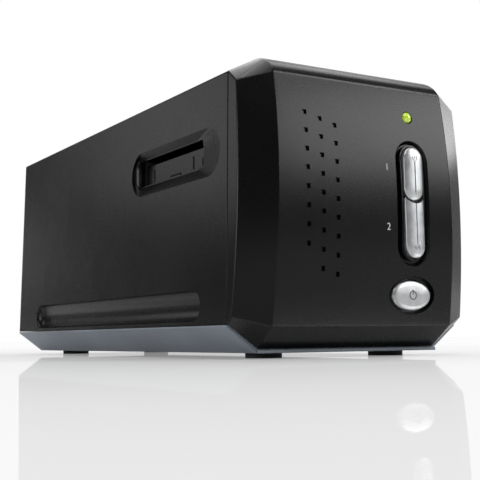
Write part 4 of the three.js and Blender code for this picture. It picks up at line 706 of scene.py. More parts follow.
def draft_at(case, height):
    """How far a side has leaned in at a height."""
    reach = case.top - case.shoulder_drop - case.chamfer_top
    return case.side_draft * (height - case.chamfer_top) / reach


class Front:
    """The formula of the bowed front, first without its bow and then with it."""

    def __init__(self, case, front):
        self.case, self.front = case, front
        self.face = (front.face_low, front.face_high, front.face_crest_share, front.face_bow)
        self.lip = (front.lip_low, front.lip_high, front.lip_crest_share, front.lip_bow)
        self.lip_flat_y = FACE_FLAT_Y + front.lip_back

    def set_back(self, arc_sizes, height):
        """How far the arc of the face or the lip lies behind its crest."""
        low, high, crest_share, radius = arc_sizes
        height = min(max(height, low), high)
        return radius - math.sqrt(radius ** 2 - (height - mixed(low, high, crest_share)) ** 2)

    def bow(self, flat_y, height):
        """How far a point goes back when the straight front is bowed."""
        if flat_y >= SEAM_Y:
            return 0.0
        lip_bow = self.set_back(self.lip, height)
        if flat_y >= self.lip_flat_y:
            return lip_bow * (SEAM_Y - flat_y) / (SEAM_Y - self.lip_flat_y)
        share = (self.lip_flat_y - flat_y) / (self.lip_flat_y - FACE_FLAT_Y)
        return mixed(lip_bow, self.set_back(self.face, height), min(share, 1))

    def straightened(self, x, y, z):
        """Where a point of the bowed front lies on the straight one."""
        flat = y
        for _ in range(12):
            flat = y - self.bow(flat, z)
        return Vector((x, flat, z))

    def ring(self, share, wall=0.0):
        """One ring of the skin: share 0 lies at the seam, 1 bounds the face."""
        case, front = self.case, self.front
        outer = max(0.0, (share - front.lip_share) / (1 - front.lip_share))
        inner = min(1.0, share / front.lip_share)
        low = mixed(mixed(BEZEL_SIDE_FOOT, front.lip_low, inner), front.face_low, outer)
        high = mixed(mixed(case.top - case.shoulder_drop, front.lip_high, inner), front.face_high, outer)
        foot_half = mixed(case.half_width - case.chamfer_run, front.face_half_width, share)
        foot_y = mixed(SEAM_Y, FACE_FLAT_Y + self.set_back(self.face, front.face_low), share)
        half = [(foot_half, foot_y, mixed(BEZEL_LOW.z, front.face_low, share))]
        for z in (low, high):
            side_x = mixed(case.half_width, front.face_half_width, outer) - draft_at(case, z)
            lip_y = self.lip_flat_y + self.set_back(self.lip, z)
            face_y = FACE_FLAT_Y + self.set_back(self.face, z)
            half.append((side_x, mixed(mixed(SEAM_Y, lip_y, inner), face_y, outer), z))
        top_half = case.half_width - case.side_draft - case.shoulder_run
        top_x = mixed(top_half, front.face_half_width - draft_at(case, front.face_high), share)
        top_y = FACE_FLAT_Y + self.set_back(self.face, front.face_high)
        roll = RIGHT_TURN * (1 - share)
        back = mixed(1 - share, 1 - math.cos(roll), front.roll_fullness)
        rise = mixed(1 - share, math.sin(roll), front.roll_fullness)
        half.append((top_x, mixed(top_y, SEAM_Y, back), mixed(front.face_high, case.top, rise)))
        middle = (BEZEL_LOW.z + case.top) / 2
        shrink = 1 - wall / (middle - BEZEL_LOW.z)
        drawn = [self.straightened(*place) for place in half]
        drawn = [Vector((x - wall, y + wall, middle + (z - middle) * shrink)) for x, y, z in drawn]
        return [Vector((-x, y, z)) for x, y, z in drawn] + drawn[::-1]


# Outlines of the controls


def arc(middle, radius, start, end, steps):
    turns = [mixed(start, end, step / steps) for step in range(steps + 1)]
    return [(middle[0] + radius * math.cos(t), middle[1] + radius * math.sin(t)) for t in turns]


def upright_outline(top, bottom, width, growth=0.0, steps=14):
    """A strip with round ends that stands in the column of the controls."""
    return round_outline((CONTROLS_X, (top + bottom) / 2), top - bottom + 2 * growth, width + 2 * growth,
                         steps, upright=True)


def lower_outline(sizes, growth):
    """The lower button: round below, and hollowed above by the round end of the upper one."""
    radius = sizes.button_width / 2
    half, hollow = radius + growth, radius + sizes.part_gap - growth
    reach = math.acos(min(1.0, half / hollow))
    return (arc((CONTROLS_X, sizes.lower_bottom + radius), half, math.pi, math.tau, 14)
            + arc((CONTROLS_X, sizes.upper_bottom + radius), hollow, -reach, reach - math.pi, 14))


def power_outline(sizes, growth):
    return oval_outline((CONTROLS_X, POWER_Z), sizes.power_width / 2 + growth,
                        sizes.power_height / 2 + growth, 56)


# Operators: the case


def join(pieces):
    """Put some pieces into the mesh of the first one, without a cut."""
    hold(pieces[0])
    for piece in pieces:
        piece.select_set(True)
    bpy.ops.object.join()
    return pieces[0]


def dimple_cutters(sizes, front):
    """One square peg for each dimple, narrower at its end, joined into one mesh."""
    pegs = []
    for inset, top, rows in DIMPLE_COLUMNS:
        x = inset - front.face_half_width
        for row in range(rows):
            z = top - row * sizes.dimple_pitch
            wide, narrow = [block_outline(x - half, z - half, x + half, z + half)
                            for half in (sizes.dimple_size / 2, sizes.dimple_size / 2 * 0.86)]
            pegs.append(prism("peg", [wide, wide, narrow], "y",
                              [BEFORE_FACE, FACE_FLAT_Y, FACE_FLAT_Y + sizes.dimple_depth]))
    return join(pegs)


def bowed(piece, shape, strips):
    """Cut a straight front into level strips and push every point back by the bow."""
    with Editing(piece, "FACE"):
        bpy.ops.mesh.select_all(action="SELECT")
        bpy.ops.mesh.quads_convert_to_tris(quad_method="BEAUTY", ngon_method="BEAUTY")
        for step in range(1, strips):
            level = mixed(BEZEL_LOW.z, shape.front.face_high, step / strips)
            bpy.ops.mesh.select_all(action="SELECT")
            bpy.ops.mesh.bisect(plane_co=(0, 0, level), plane_no=(0, 0, 1))
    for vertex in piece.data.vertices:
        _, y, z = vertex.co
        vertex.co.y = y + shape.bow(y, z)


class SCANNER_OT_front_bezel(bpy.types.Operator):
    """Mould the bowed front with its facets, rolled top, wells, rim and dimples"""

    bl_idname = "scanner.front_bezel"
    bl_label = "Front bezel"

    def execute(self, context):
        front, sizes = context.scene.scanner_front, context.scene.scanner_controls
        shape, lip = Front(context.scene.scanner_case, front), front.lip_share
        shares = [lip * k / 4 for k in range(4)]
        shares += [mixed(lip, 1, k / front.roll_steps) for k in range(front.roll_steps + 1)]
        body = loft("front_bezel_skin", [shape.ring(share) for share in shares])
        rounded(body, front.edge_radius, 3, 17)
        hollow = loft("hollow", [shape.ring(share, front.wall) for share in (0, lip * 0.5, lip, 0.6, 0.8, 1)])
        for vertex in hollow.data.vertices:
            if vertex.co.y > SEAM_Y + front.wall * 0.5:
                vertex.co.y += front.wall
        cut(body, hollow)
        flare = sizes.well_flare
        wells = [upright_outline(sizes.well_top, sizes.well_bottom, sizes.well_width, growth, 18)
                 for growth in (flare, flare, -flare)]
        well_y, rim_y = FACE_FLAT_Y + sizes.well_depth, FACE_FLAT_Y + sizes.rim_drop
        cut(body, prism("well", wells, "y", [BEFORE_FACE, FACE_FLAT_Y, well_y]))
        rim = upright_outline(sizes.upper_top, sizes.lower_bottom, sizes.button_width,
                              sizes.fit + sizes.rim_width, 18)
        weld(body, prism("rim", rim, "y", [rim_y, well_y + 0.4 * MM]))
        through = [BEFORE_FACE, FACE_FLAT_Y + 12 * MM]
        upper_hole = upright_outline(sizes.upper_top, sizes.upper_bottom, sizes.button_width, sizes.fit)
        lower_hole = lower_outline(sizes, sizes.fit)
        power_well = power_outline(sizes, sizes.power_margin)
        lamp_radius = sizes.led_radius + sizes.fit * 0.8
        lamp_hole = oval_outline((CONTROLS_X, LED_Z), lamp_radius, lamp_radius, 32)
        cut(body, prism("upper_hole", upper_hole, "y", through),
            prism("lower_hole", lower_hole, "y", through),
            prism("power_well", power_well, "y", [BEFORE_FACE, FACE_FLAT_Y + sizes.power_depth]),
            prism("power_hole", power_outline(sizes, sizes.fit), "y", through),
            prism("lamp_hole", lamp_hole, "y", through),
            dimple_cutters(sizes, front))
        for level, outlines, radius, segments in (
                (FACE_FLAT_Y, (wells[0], power_well, lamp_hole), sizes.mouth_radius, 3),
                (rim_y, (rim, upper_hole, lower_hole), sizes.mouth_radius * 0.6, 2)):
            round_mouths(body, [on_outline(outline) for outline in outlines], radius, segments,
                         lambda a, b, y=level: max(abs(a.y - y), abs(b.y - y)) < 0.02 * MM)
        bowed(body, shape, front.bow_strips)
        dress(polished(body), "casing", "case", "front_bezel")
        return {"FINISHED"}


def rounded_ends(front, rear, front_radius, rear_radius, steps=4):
    """Levels of a form with rounded ends, and how far its outline draws in at each."""
    turns = [RIGHT_TURN * k / steps for k in range(steps + 1)]
    ends = [(front + front_radius * (1 - math.cos(t)), front_radius * (1 - math.sin(t))) for t in turns]
    ends += [(rear - rear_radius * (1 - math.cos(t)), rear_radius * (1 - math.sin(t)))
             for t in reversed(turns)]
    return zip(*ends, strict=True)


def case_outline(case, low, drawn_in, radius=0.0):
    """The case seen from the front, from a height upwards, drawn in by a wall."""
    slope = math.atan2(case.shoulder_drop, case.shoulder_run)
    corner = drawn_in * math.tan(slope / 2)
    side = drawn_in * math.tan((RIGHT_TURN - slope) / 2)
    half = [
        (case.half_width - draft_at(case, low) - drawn_in, low),
        (case.half_width - case.side_draft - drawn_in, case.top - case.shoulder_drop - side),
        (case.half_width - case.side_draft - case.shoulder_run - corner, case.top - drawn_in),
    ]
    outline = half + [(-x, z) for x, z in reversed(half)]
    return filleted(outline, [0, radius, radius, radius, radius, 0])


def tray_outline(case, low, high, drawn_in, radius=0.0):
    """The tray seen from the front, up to a height, drawn in by a wall."""
    slope = math.atan2(case.chamfer_top - low, case.chamfer_run)
    floor_half = case.half_width - case.chamfer_run - drawn_in * math.tan(slope / 2)
    side = case.half_width - drawn_in
    side_foot = case.chamfer_top + drawn_in * math.tan((RIGHT_TURN - slope) / 2)
    rim = max(high, side_foot + 0.1 * MM)
    outline = [(-floor_half, low + drawn_in), (floor_half, low + drawn_in), (side, side_foot),
               (side, rim), (-side, rim), (-side, side_foot)]
    return filleted(outline, [radius, radius, radius, 0, 0, radius])


def dish_levels(depth, steps):
    """Depth and inward share of each level of a dished hollow, steep at its mouth."""
    turns = [RIGHT_TURN * k / steps for k in range(steps + 1)]
    return [(depth * math.sin(t), 1 - math.cos(t)) for t in turns]


def bowl(name, outlines, levels, wall_x, side):
    """A hollow in a side wall, with one outline for each of its levels."""
    return prism(name, outlines[:1] + outlines, "x",
                 [side * (wall_x + 4 * MM)] + [side * (wall_x - depth) for depth, _ in levels])


def pocket_outline(sizes, end_share=0.0, band_share=0.0, growth=0.0):
    """The pocket seen from the side: at shares of 0 its mouth, at shares of 1 the slot in its floor."""
    spare, almost_half = 0.4 * MM, 0.4995
    mouth_radius = (sizes.pocket_high - sizes.pocket_low) * almost_half
    slot_radius = (sizes.slot_high - sizes.slot_low + 2 * spare) * almost_half
    front = mixed(mouth_radius, slot_radius, band_share) + growth
    rear = mixed(mouth_radius, 1 * MM, band_share) + growth
    outline = block_outline(
        mixed(sizes.pocket_front, sizes.slot_front - spare, band_share) - growth,
        mixed(sizes.pocket_low, sizes.slot_low - spare, band_share) - growth,
        mixed(sizes.pocket_rear, sizes.slot_rear + spare, end_share) + growth,
        mixed(sizes.pocket_high, sizes.slot_high + spare, band_share) + growth)
    return filleted(outline, [front, rear, rear, front], 12)


def pocket_form(sizes, wall_x, side, growth=0.0):
    """The hollow of a pocket: a long slanted bowl in front, flat bands and a steep rear end."""
    depth = wall_x - sizes.floor_x + growth
    levels = dish_levels(depth, 10)
    outlines = [pocket_outline(sizes, share, level / depth, growth) for level, share in levels]
    return bowl("pocket", outlines, levels, wall_x, side)


def scoop_outline(sizes, share=0.0, growth=0.0):
    middle = ((sizes.scoop_front + sizes.scoop_rear) / 2, sizes.scoop_height)
    straight = sizes.scoop_rear - sizes.scoop_front - 2 * sizes.scoop_radius
    radius = (sizes.scoop_radius + growth) * (1 - share * 0.93)
    return round_outline(middle, straight + 2 * radius, 2 * radius, 16)


def scoop_form(sizes, wall_x, side, growth=0.0):
    """The hollow of a finger scoop: a long round-ended bowl."""
    levels = dish_levels(sizes.scoop_depth + growth, 8)
    return bowl("scoop", [scoop_outline(sizes, share, growth) for _, share in levels], levels, wall_x, side)


def in_side_wall(a, b):
    """Whether an edge lies along one side wall and not across it."""
    same_wall = min(abs(a.x), abs(b.x)) > 54 * MM and a.x * b.x > 0
    return same_wall and abs(a.x - b.x) < 0.4 * (a - b).length


class SCANNER_OT_top_cover(bpy.types.Operator):
    """Mould the black cover with its shoulders, dished pockets, slots and finger scoops"""

    bl_idname = "scanner.top_cover"
    bl_label = "Top cover"

    def execute(self, context):
        case, sizes = context.scene.scanner_case, context.scene.scanner_pockets
        low, front_y, rear_y = COVER_BOTTOM, CASE_LOW.y, CASE_HIGH.y
        levels, insets = rounded_ends(front_y, rear_y, case.seam_gap, case.edge_radius)
        shell = [case_outline(case, low, inset, case.edge_radius) for inset in insets]
        cover = prism("top_cover_shell", shell, "y", levels)
        cut(cover, prism("hollow", case_outline(case, low - 5 * MM, case.wall), "y",
                         [front_y - 5 * MM, rear_y - case.wall]))
        pocket_x = case.half_width - draft_at(case, sizes.pocket_high)
        scoop_x = case.half_width - draft_at(case, sizes.scoop_height + sizes.scoop_radius)
        slot = block_outline(sizes.slot_front, sizes.slot_low, sizes.slot_rear, sizes.slot_high)
        for side, _ in SIDES:
            for wall_x, backing in (
                    (pocket_x, pocket_form(sizes, pocket_x - 0.3 * MM, side, sizes.wall)),
                    (scoop_x, scoop_form(sizes, scoop_x - 0.3 * MM, side, sizes.scoop_wall))):
                trim = block("trim", (-0.2, -0.1), (0.2, 0.2),
                             [side * (wall_x - 0.9 * MM), side * (wall_x + 20 * MM)], "x")
                weld(cover, cut(backing, trim))
            cut(cover, pocket_form(sizes, pocket_x, side), scoop_form(sizes, scoop_x, side),
                prism("slot", slot, "x", [side * (pocket_x + 1 * MM), side * (pocket_x - 8 * MM)]))
        panel_low, panel_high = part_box("rear_panel")
        gap = 0.3 * MM
        cut(cover, block("low_cut", (-0.1, -0.05), (0.1, low), [-0.2, 0.2]),
            block("opening", (panel_low.x - gap, low - 5 * MM), (panel_high.x + gap, panel_high.z + gap),
                  [rear_y - 4 * MM, rear_y + 4 * MM]))
        bowls = [pocket_outline(sizes), scoop_outline(sizes)]
        for outlines, radius, segments in ((bowls, sizes.mouth_radius, 3), ([slot], 0.25 * MM, 2)):
            round_mouths(cover, [on_outline(outline, "yz", 0.03 * MM) for outline in outlines], radius,
                         segments, in_side_wall)
        dress(polished(cover), "casing", "case", "top_cover")
        return {"FINISHED"}


def box_disc(name):
    """The middle and the radius of a round upright node, and its box."""
    low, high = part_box(name)
    middle = (low + high) / 2
    return (middle.x, middle.y), (high.x - low.x) / 2, low, high


class SCANNER_OT_base_tray(bpy.types.Operator):
    """Mould the grey tray with its sloped edges, apron and recesses for feet and screws"""

    bl_idname = "scanner.base_tray"
    bl_label = "Base tray"

    def execute(self, context):
        case = context.scene.scanner_case
        low, front_y, rear_y = TRAY_LOW.z, CASE_LOW.y, CASE_HIGH.y
        front_radius, rear_radius, corner_radius = 0.45 * MM, 0.6 * MM, 0.5 * MM
        foot_fit, screw_fit, head_room = 0.4 * MM, 0.35 * MM, 2.8 * MM
        boss_radius, boss_top, apron_height = 5 * MM, 8.5 * MM, 1.3 * MM
        floor_half, wall = case.half_width - case.chamfer_run, case.wall - 0.2 * MM
        levels, insets = rounded_ends(front_y, rear_y, front_radius, rear_radius)
        shell = [tray_outline(case, low, TRAY_RIM, inset, corner_radius) for inset in insets]
        tray = prism("base_tray_shell", shell, "y", levels)
        cut(tray, prism("hollow", tray_outline(case, low, TRAY_RIM + 5 * MM, wall), "y",
                        [front_y - 5 * MM, rear_y - wall]))
        apron = block("apron", (-floor_half, low), (floor_half, low + apron_height),
                      [TRAY_LOW.y, front_y + 0.6 * MM])
        with Editing(apron, "EDGE") as pen:
            pen.pick(lambda a, b: max(a.y, b.y) < TRAY_LOW.y + 0.01 * MM)
            bpy.ops.mesh.bevel(offset=0.35 * MM, segments=3, affect="EDGES")
        weld(tray, apron)
        for name in FEET:
            middle, radius, _, foot_high = box_disc(name)
            cut(tray, rod("recess", middle, radius + foot_fit, low - 1 * MM, foot_high.z + 0.3 * MM, 48, "z"))
        for name in SCREWS:
            middle, radius, _, _ = box_disc(name)
            weld(tray, rod("boss", middle, boss_radius, low + wall - 0.2 * MM, boss_top, 32, "z"))
            cut(tray, rod("recess", middle, radius + screw_fit, low - 1 * MM, low + head_room, 32, "z"))
        dress(polished(tray), "tray", "case", "base_tray")
        return {"FINISHED"}


# Operators: the controls


def domed_cap(name, outline_at, crest, rise, back, steps=9, reach=0.97):
    """A cap whose outline shrinks towards its crest, so that it swells like a cushion."""
    levels, outlines = [back], [outline_at(0)]
    for step in range(steps + 1):
        angle = RIGHT_TURN * step / steps
        outlines.append(outline_at((math.cos(angle) - 1) * reach))
        levels.append(crest + rise * (1 - math.sin(angle)))
    return prism(name, outlines, "y", levels)


def add_stem(cap, outline, flange_y, stem_end):
    """Give a cap the flange behind the bezel and the stem that reaches its switch."""
    middle = [sum(values) / len(outline) for values in zip(*outline, strict=True)]
    weld(cap, prism("flange", outline, "y", [flange_y, flange_y + FLANGE_THICKNESS]),
         rod("stem", middle, STEM_RADIUS, flange_y + 1 * MM, stem_end, 24))


class SCANNER_OT_scan_buttons(bpy.types.Operator):
    """Shape the two silver scan buttons with their groove, ring and dot"""

    bl_idname = "scanner.scan_buttons"
    bl_label = "Scan buttons"

    def execute(self, context):
        sizes = context.scene.scanner_controls
        half = sizes.button_width / 2
        divider_z = sizes.upper_bottom + half
        crest = UPPER_LOW.y
        before = crest - 2 * MM
        inset, start, end = 4.5 * MM, 1.5 * MM, 40 * MM
        groove_half, groove_y = 0.28 * MM, crest + 0.35 * MM
        ring_outer, ring_inner, dot, ring_y = 1.35 * MM, 0.95 * MM, 0.45 * MM, crest + 0.3 * MM
        for name, top, bottom, flange_y, ring_z, way in (
                ("upper", sizes.upper_top, sizes.upper_bottom, UPPER_FLANGE_Y, sizes.upper_top - inset, -1),
                ("lower", divider_z, sizes.lower_bottom, LOWER_FLANGE_Y, sizes.lower_bottom + inset, 1)):

            def outline_at(growth, top=top, bottom=bottom):
                return upright_outline(top, bottom, sizes.button_width, growth * half)

            cap = domed_cap(name + "_button_cap", outline_at, crest, DOME_RISE, flange_y)
            if name == "lower":
                cut(cap, rod("divider", (CONTROLS_X, divider_z), half + sizes.part_gap, before,
                             flange_y + 2 * MM, 72))
            groove_low, groove_high = sorted((ring_z + way * start, ring_z + way * end))
            groove = block("groove", (CONTROLS_X - groove_half, groove_low),
                           (CONTROLS_X + groove_half, groove_high), [before, groove_y])
            middle = (CONTROLS_X, ring_z)
            ring = rod("ring", middle, ring_outer, before, ring_y, 40)
            cut(ring, rod("core", middle, ring_inner, crest - 3 * MM, crest + 1 * MM, 40))
            cut(cap, groove, ring, rod("dot", middle, dot, before, groove_y, 24))
            add_stem(cap, outline_at(FLANGE_REACH / half), flange_y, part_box(name + "_button")[1].y)
            dress(polished(cap, math.radians(28)), "silver", "button_" + name, name + "_button")
        return {"FINISHED"}


class SCANNER_OT_power_button(bpy.types.Operator):
    """Shape the oval power button with its standard ring-and-bar sign"""

    bl_idname = "scanner.power_button"
    bl_label = "Power button"

    def execute(self, context):
        sizes = context.scene.scanner_controls
        crest, dome_reach = POWER_LOW.y, 2.4 * MM
        cap = domed_cap("power_button_cap", lambda growth: power_outline(sizes, growth * dome_reach),
                        crest + 0.25 * MM, DOME_RISE, crest + 7 * MM, 8, 1.0)
        crown = ((0, 0.25), (1.1, 0.13), (2.3, 0.05), (3.4, 0.01))
        weld(cap, prism("crown", [power_outline(sizes, -dome_reach - inset * MM) for inset, _ in crown],
                        "y", [crest + level * MM for _, level in crown]))
        add_stem(cap, power_outline(sizes, FLANGE_REACH), POWER_FLANGE_Y, POWER_HIGH.y)
        dress(polished(cap), "silver", "button_power", "power_button")
        sign_y, sign_radius, sign_line, gap_half = crest + 0.02 * MM, 1.7 * MM, 0.38 * MM, 0.6 * MM
        bpy.ops.mesh.primitive_torus_add(location=(CONTROLS_X, sign_y, POWER_Z), rotation=(RIGHT_TURN, 0, 0),
                                         major_radius=sign_radius, minor_radius=sign_line / 2,
                                         major_segments=48, minor_segments=8)
        ring = settle(bpy.context.object)
        ring.name = "power_sign"
        cut(ring, block("gap", (CONTROLS_X - gap_half, POWER_Z), (CONTROLS_X + gap_half, POWER_Z + 4 * MM),
                        [sign_y - 1 * MM, sign_y + 1 * MM]))
        bar = round_outline((CONTROLS_X, POWER_Z + 1.3 * MM), 2.0 * MM, sign_line, 6, upright=True)
        join([ring, prism("bar", bar, "y", [sign_y - 0.12 * MM, sign_y + 0.12 * MM])])
        dress(smooth(ring), "ink", "button_power", slot="silver")
        return {"FINISHED"}


class SCANNER_OT_lamp_window(bpy.types.Operator):
    """Shape the domed lamp window"""

    bl_idname = "scanner.lamp_window"
    bl_label = "Lamp window"

    def execute(self, context):
        radius = context.scene.scanner_controls.led_radius

        def outline_at(growth):
            return oval_outline((CONTROLS_X, LED_Z), radius * (1 + growth), radius * (1 + growth), 32)

        dome = domed_cap("lamp_window", outline_at, LED_LOW.y, radius * 0.8, LED_HIGH.y - 1 * MM, 8, 0.98)
        dress(polished(dome), "lamp", "case", "led_lens")
        return {"FINISHED"}


class SCANNER_OT_feet(bpy.types.Operator):
    """Mould the four rubber feet with a rounded rim and a dished sole"""

    bl_idname = "scanner.feet"
    bl_label = "Feet"

    def execute(self, context):
        rim_share, dish_depth, dish_share, edge = 0.3, 0.4 * MM, 0.12, 0.45 * MM
        for name in FEET:
            _, radius, low, high = box_disc(name)
            free_hands()
            bpy.ops.mesh.primitive_cylinder_add(vertices=64, radius=radius, depth=high.z - low.z,
                                                location=(low + high) / 2)
            foot = settle(bpy.context.object)
            foot.name = name + "_rubber"
            with Editing(foot, "FACE") as pen:
                pen.pick(lambda place, normal: normal.z < -0.9, "faces")
                bpy.ops.mesh.inset(thickness=radius * rim_share)
                bpy.ops.mesh.extrude_region_move(TRANSFORM_OT_translate={"value": (0, 0, dish_depth)})
                bpy.ops.mesh.inset(thickness=radius * dish_share)
            dress(polished(rounded(foot, edge, 3, 40)), "rubber", "case", name)
        return {"FINISHED"}


class SCANNER_OT_case_screws(bpy.types.Operator):
    """Turn the four case screws with their domed, slotted heads and threads"""

    bl_idname = "scanner.case_screws"
    bl_label = "Case screws"

    def execute(self, context):
        pitch, head, shank, core = 0.9 * MM, 2.85 * MM, 1.5 * MM, 1.2 * MM
        for name in SCREWS:
            middle, _, low, high = box_disc(name)
            profile = [(0, 0.78 * head), (0.12 * MM, 0.9 * head), (0.4 * MM, 0.98 * head), (0.8 * MM, head),
                       (2 * MM, head), (2 * MM, shank), (5 * MM, shank)]
            rise, tip = 5 * MM, high.z - low.z
            while rise + pitch < tip - 0.6 * MM:
                profile += [(rise + pitch * share, radius)
                            for share, radius in ((0.3, core), (0.5, core), (0.95, shank))]
                rise += pitch
            profile += [(tip - 0.3 * MM, core), (tip, core * 0.6)]
            screw = turned(name + "_turned", middle, [(low.z + level, radius) for level, radius in profile],
                           28, "z")
            x, y = middle
            cut(screw, block("slot", (x - 5 * MM, y - 0.4 * MM), (x + 5 * MM, y + 0.4 * MM),
                             [low.z - 1 * MM, low.z + 0.8 * MM], "z"))
            dress(polished(screw), "steel", "case", name)
        return {"FINISHED"}


class SCANNER_OT_dust_doors(bpy.types.Operator):
    """Mould the two dust doors with their barrels, upright ribs and notched corners"""

    bl_idname = "scanner.dust_doors"
    bl_label = "Dust doors"

    def execute(self, context):
        sizes = context.scene.scanner_doors
        rib_low, rib_high, rib_places = 0.9 * MM, 6.7 * MM, (-16.6 * MM, 21.5 * MM)
        notch_low, notch_high, slant = 1.3 * MM, 4.8 * MM, 0.45
        for side, hand in SIDES:
            low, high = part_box("dust_door_" + hand)
            pin_x, pin_z = min(abs(low.x), abs(high.x)) + sizes.barrel, low.z + sizes.barrel
            pin = (side * pin_x, pin_z)
            middle_y = (low.y + high.y) / 2
            outer, inner = side * (pin_x + sizes.face), side * (pin_x + sizes.face - sizes.thickness)
            blade = filleted(block_outline(inner, pin_z - 0.3 * MM, outer, pin_z + sizes.height),
                             [0, 0, 0.5 * MM, 0.5 * MM])
            door = prism(f"dust_door_{hand}_moulded", blade, "y", [low.y, high.y])
            rounded(door, 0.2 * MM, 2, 60)
            weld(door, rod("barrel", pin, sizes.barrel, low.y + 0.05 * MM, high.y - 0.05 * MM, 32))
            for place in rib_places:
                rib_y, half = middle_y + place, sizes.rib_width / 2
                outline = block_outline(rib_y - half, pin_z + rib_low, rib_y + half, pin_z + rib_high)
                rib = prism("rib", filleted(outline, [0.25 * MM] * 4, 3), "x",
                            [outer - side * 0.5 * MM, outer + side * sizes.rib_rise])
                weld(door, rounded(rib, 0.12 * MM, 2, 60))
            for start, end in ((low.y + 4 * MM, low.y + 5.4 * MM), (high.y - 1.5 * MM, high.y + 1 * MM)):
                notch = [(start, pin_z + notch_low), (end, pin_z + notch_low), (end, pin_z + notch_high),
                         (end - (end - start) * slant, pin_z + notch_high)]
                cut(door, prism("notch", notch, "x", [side * (pin_x - 3 * MM), side * (pin_x + 3 * MM)]))
            start, end = middle_y - sizes.spring_half, middle_y + sizes.spring_half
            weld(door, rod("bulge", pin, sizes.spring_room + sizes.spring_skin, start - 0.6 * MM,
                           end + 0.6 * MM, 40))
            inside = sorted((side * (pin_x - 4 * MM), inner))
            cut(door, rod("bore", pin, sizes.barrel * 0.54, -0.2, 0.2, 24),
                rod("spring_room", pin, sizes.spring_room, start, end, 40),
                block("spring_gap", (inside[0], pin_z - 2.6 * MM), (inside[1], pin_z + 2.6 * MM),
                      [start - 1 * MM, end + 1 * MM]))
            dress(polished(door), "casing", "door_" + hand, "dust_door_" + hand)
        return {"FINISHED"}


# Operators: wire, belt and cable


def wire(name, path, radius):
    """A round wire bent along a path of points, closed at both ends."""
    free_hands()
    bpy.ops.curve.primitive_nurbs_path_add()
    strand = bpy.context.object
    strand.name = name
    curve = strand.data
    curve.splines.clear()
    spline = curve.splines.new("POLY")
    spline.points.add(len(path) - 1)
    for point, place in zip(spline.points, path, strict=True):
        point.co = (*place, 1)
    curve.dimensions = "3D"
    curve.bevel_depth = radius
    curve.bevel_resolution = 3
    curve.use_fill_caps = True
    bpy.ops.object.convert(target="MESH")
    strand = settle(bpy.context.object)
    with Editing(strand, "VERT") as pen:
        pen.close_up()
    return smooth(strand, math.radians(60))


def coil_path(middle, radius, start, end, turns, phase=0.0, closed_turns=0.0, wire_width=0.0, steps=20):
    """A helix along Y round a middle, with closed turns at both ends."""
    total, seat = turns + 2 * closed_turns, closed_turns * wire_width
    count = round(total * steps)
    points = []
    for k in range(count + 1):
        done = total * k / count
        if done < closed_turns:
            y = start + wire_width * done
        elif done > total - closed_turns:
            y = end - wire_width * (total - done)
        else:
            y = mixed(start + seat, end - seat, (done - closed_turns) / turns)
        angle = phase + math.tau * done
        points.append(Vector((middle.x + radius * math.cos(angle), y, middle.z + radius * math.sin(angle))))
    return points


def hook_path(middle, seat_y, way):
    """The half hook at one end of the tension spring, from left to right."""
    turns = [math.pi * k / 12 for k in range(13)]
    return [Vector((middle.x + 2.2 * MM * math.cos(t) * 0.75, seat_y + way * 1.6 * MM * math.sin(t),
                    middle.z + 0.4 * MM * math.cos(t))) for t in turns]


def wind_door_spring(sizes, pocket, side, hand):
    """Wind one door spring with a leg on the case and a leg that rides on its door."""
    low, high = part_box("door_spring_" + hand)
    middle, thick = (low + high) / 2, sizes.swing_wire
    radius = (high.z - low.z) / 2 - thick
    front_y, rear_y = low.y + thick, high.y - thick
    coil = coil_path(middle, radius, front_y, rear_y, 5.5, phase=0 if side < 0 else math.pi)
    wall_x = side * (pocket.floor_x - pocket.wall)
    case_leg = [Vector((coil[-1].x, rear_y, coil[-1].z - 0.9 * MM)),
                Vector((wall_x - side * 0.35 * MM, rear_y, middle.z - 2.2 * MM)),
                Vector((wall_x - side * 0.25 * MM, rear_y, middle.z - 3.2 * MM))]
    spring = wire(f"door_spring_{hand}_wound", coil + case_leg, thick)
    dress(spring, "steel", "case", "door_spring_" + hand)
    blade = middle.x + side * (sizes.face - sizes.thickness - thick)
    inside = middle.x - side * radius
    places = ((inside, 0), (inside, 1), (mixed(inside, blade, 0.55), 3.2), (blade, 5.2), (blade, 7))
    leg = wire(f"door_spring_{hand}_leg",
               [Vector((x, front_y, middle.z + rise * MM)) for x, rise in places], thick)
    dress(leg, "steel", "door_" + hand)


class SCANNER_OT_springs(bpy.types.Operator):
    """Wind the button springs, the door springs with their legs and the belt's tension spring"""

    bl_idname = "scanner.springs"
    bl_label = "Springs"

    def execute(self, context):
        for button in ("upper", "lower", "power"):
            name, joint = "button_spring_" + button, button + "_button_press"
            low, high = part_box(name)
            middle, thick = (low + high) / 2, 0.3 * MM
            path = coil_path(middle, 2.5 * MM, low.y + thick, high.y - thick, 4,
                             closed_turns=0.9, wire_width=2.05 * thick)
            spring = wire(name + "_wound", path, thick)
            dress(spring, "steel", "case", name)
            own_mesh(spring)
        for side, hand in SIDES:
            wind_door_spring(context.scene.scanner_doors, context.scene.scanner_pockets, side, hand)
        low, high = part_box("tension_spring")
        middle, thick, hook = (low + high) / 2, 0.35 * MM, 2.6 * MM
        coil = coil_path(middle, 2.2 * MM, low.y + hook, high.y - hook, 12)
        front_hook = hook_path(middle, low.y + hook - thick, -1)[::-1]
        rear_hook = hook_path(middle, high.y - hook + thick, 1)
        spring = wire("tension_spring_wound", front_hook + coil + rear_hook, thick)
        dress(spring, "steel", "case", "tension_spring")
        return {"FINISHED"}


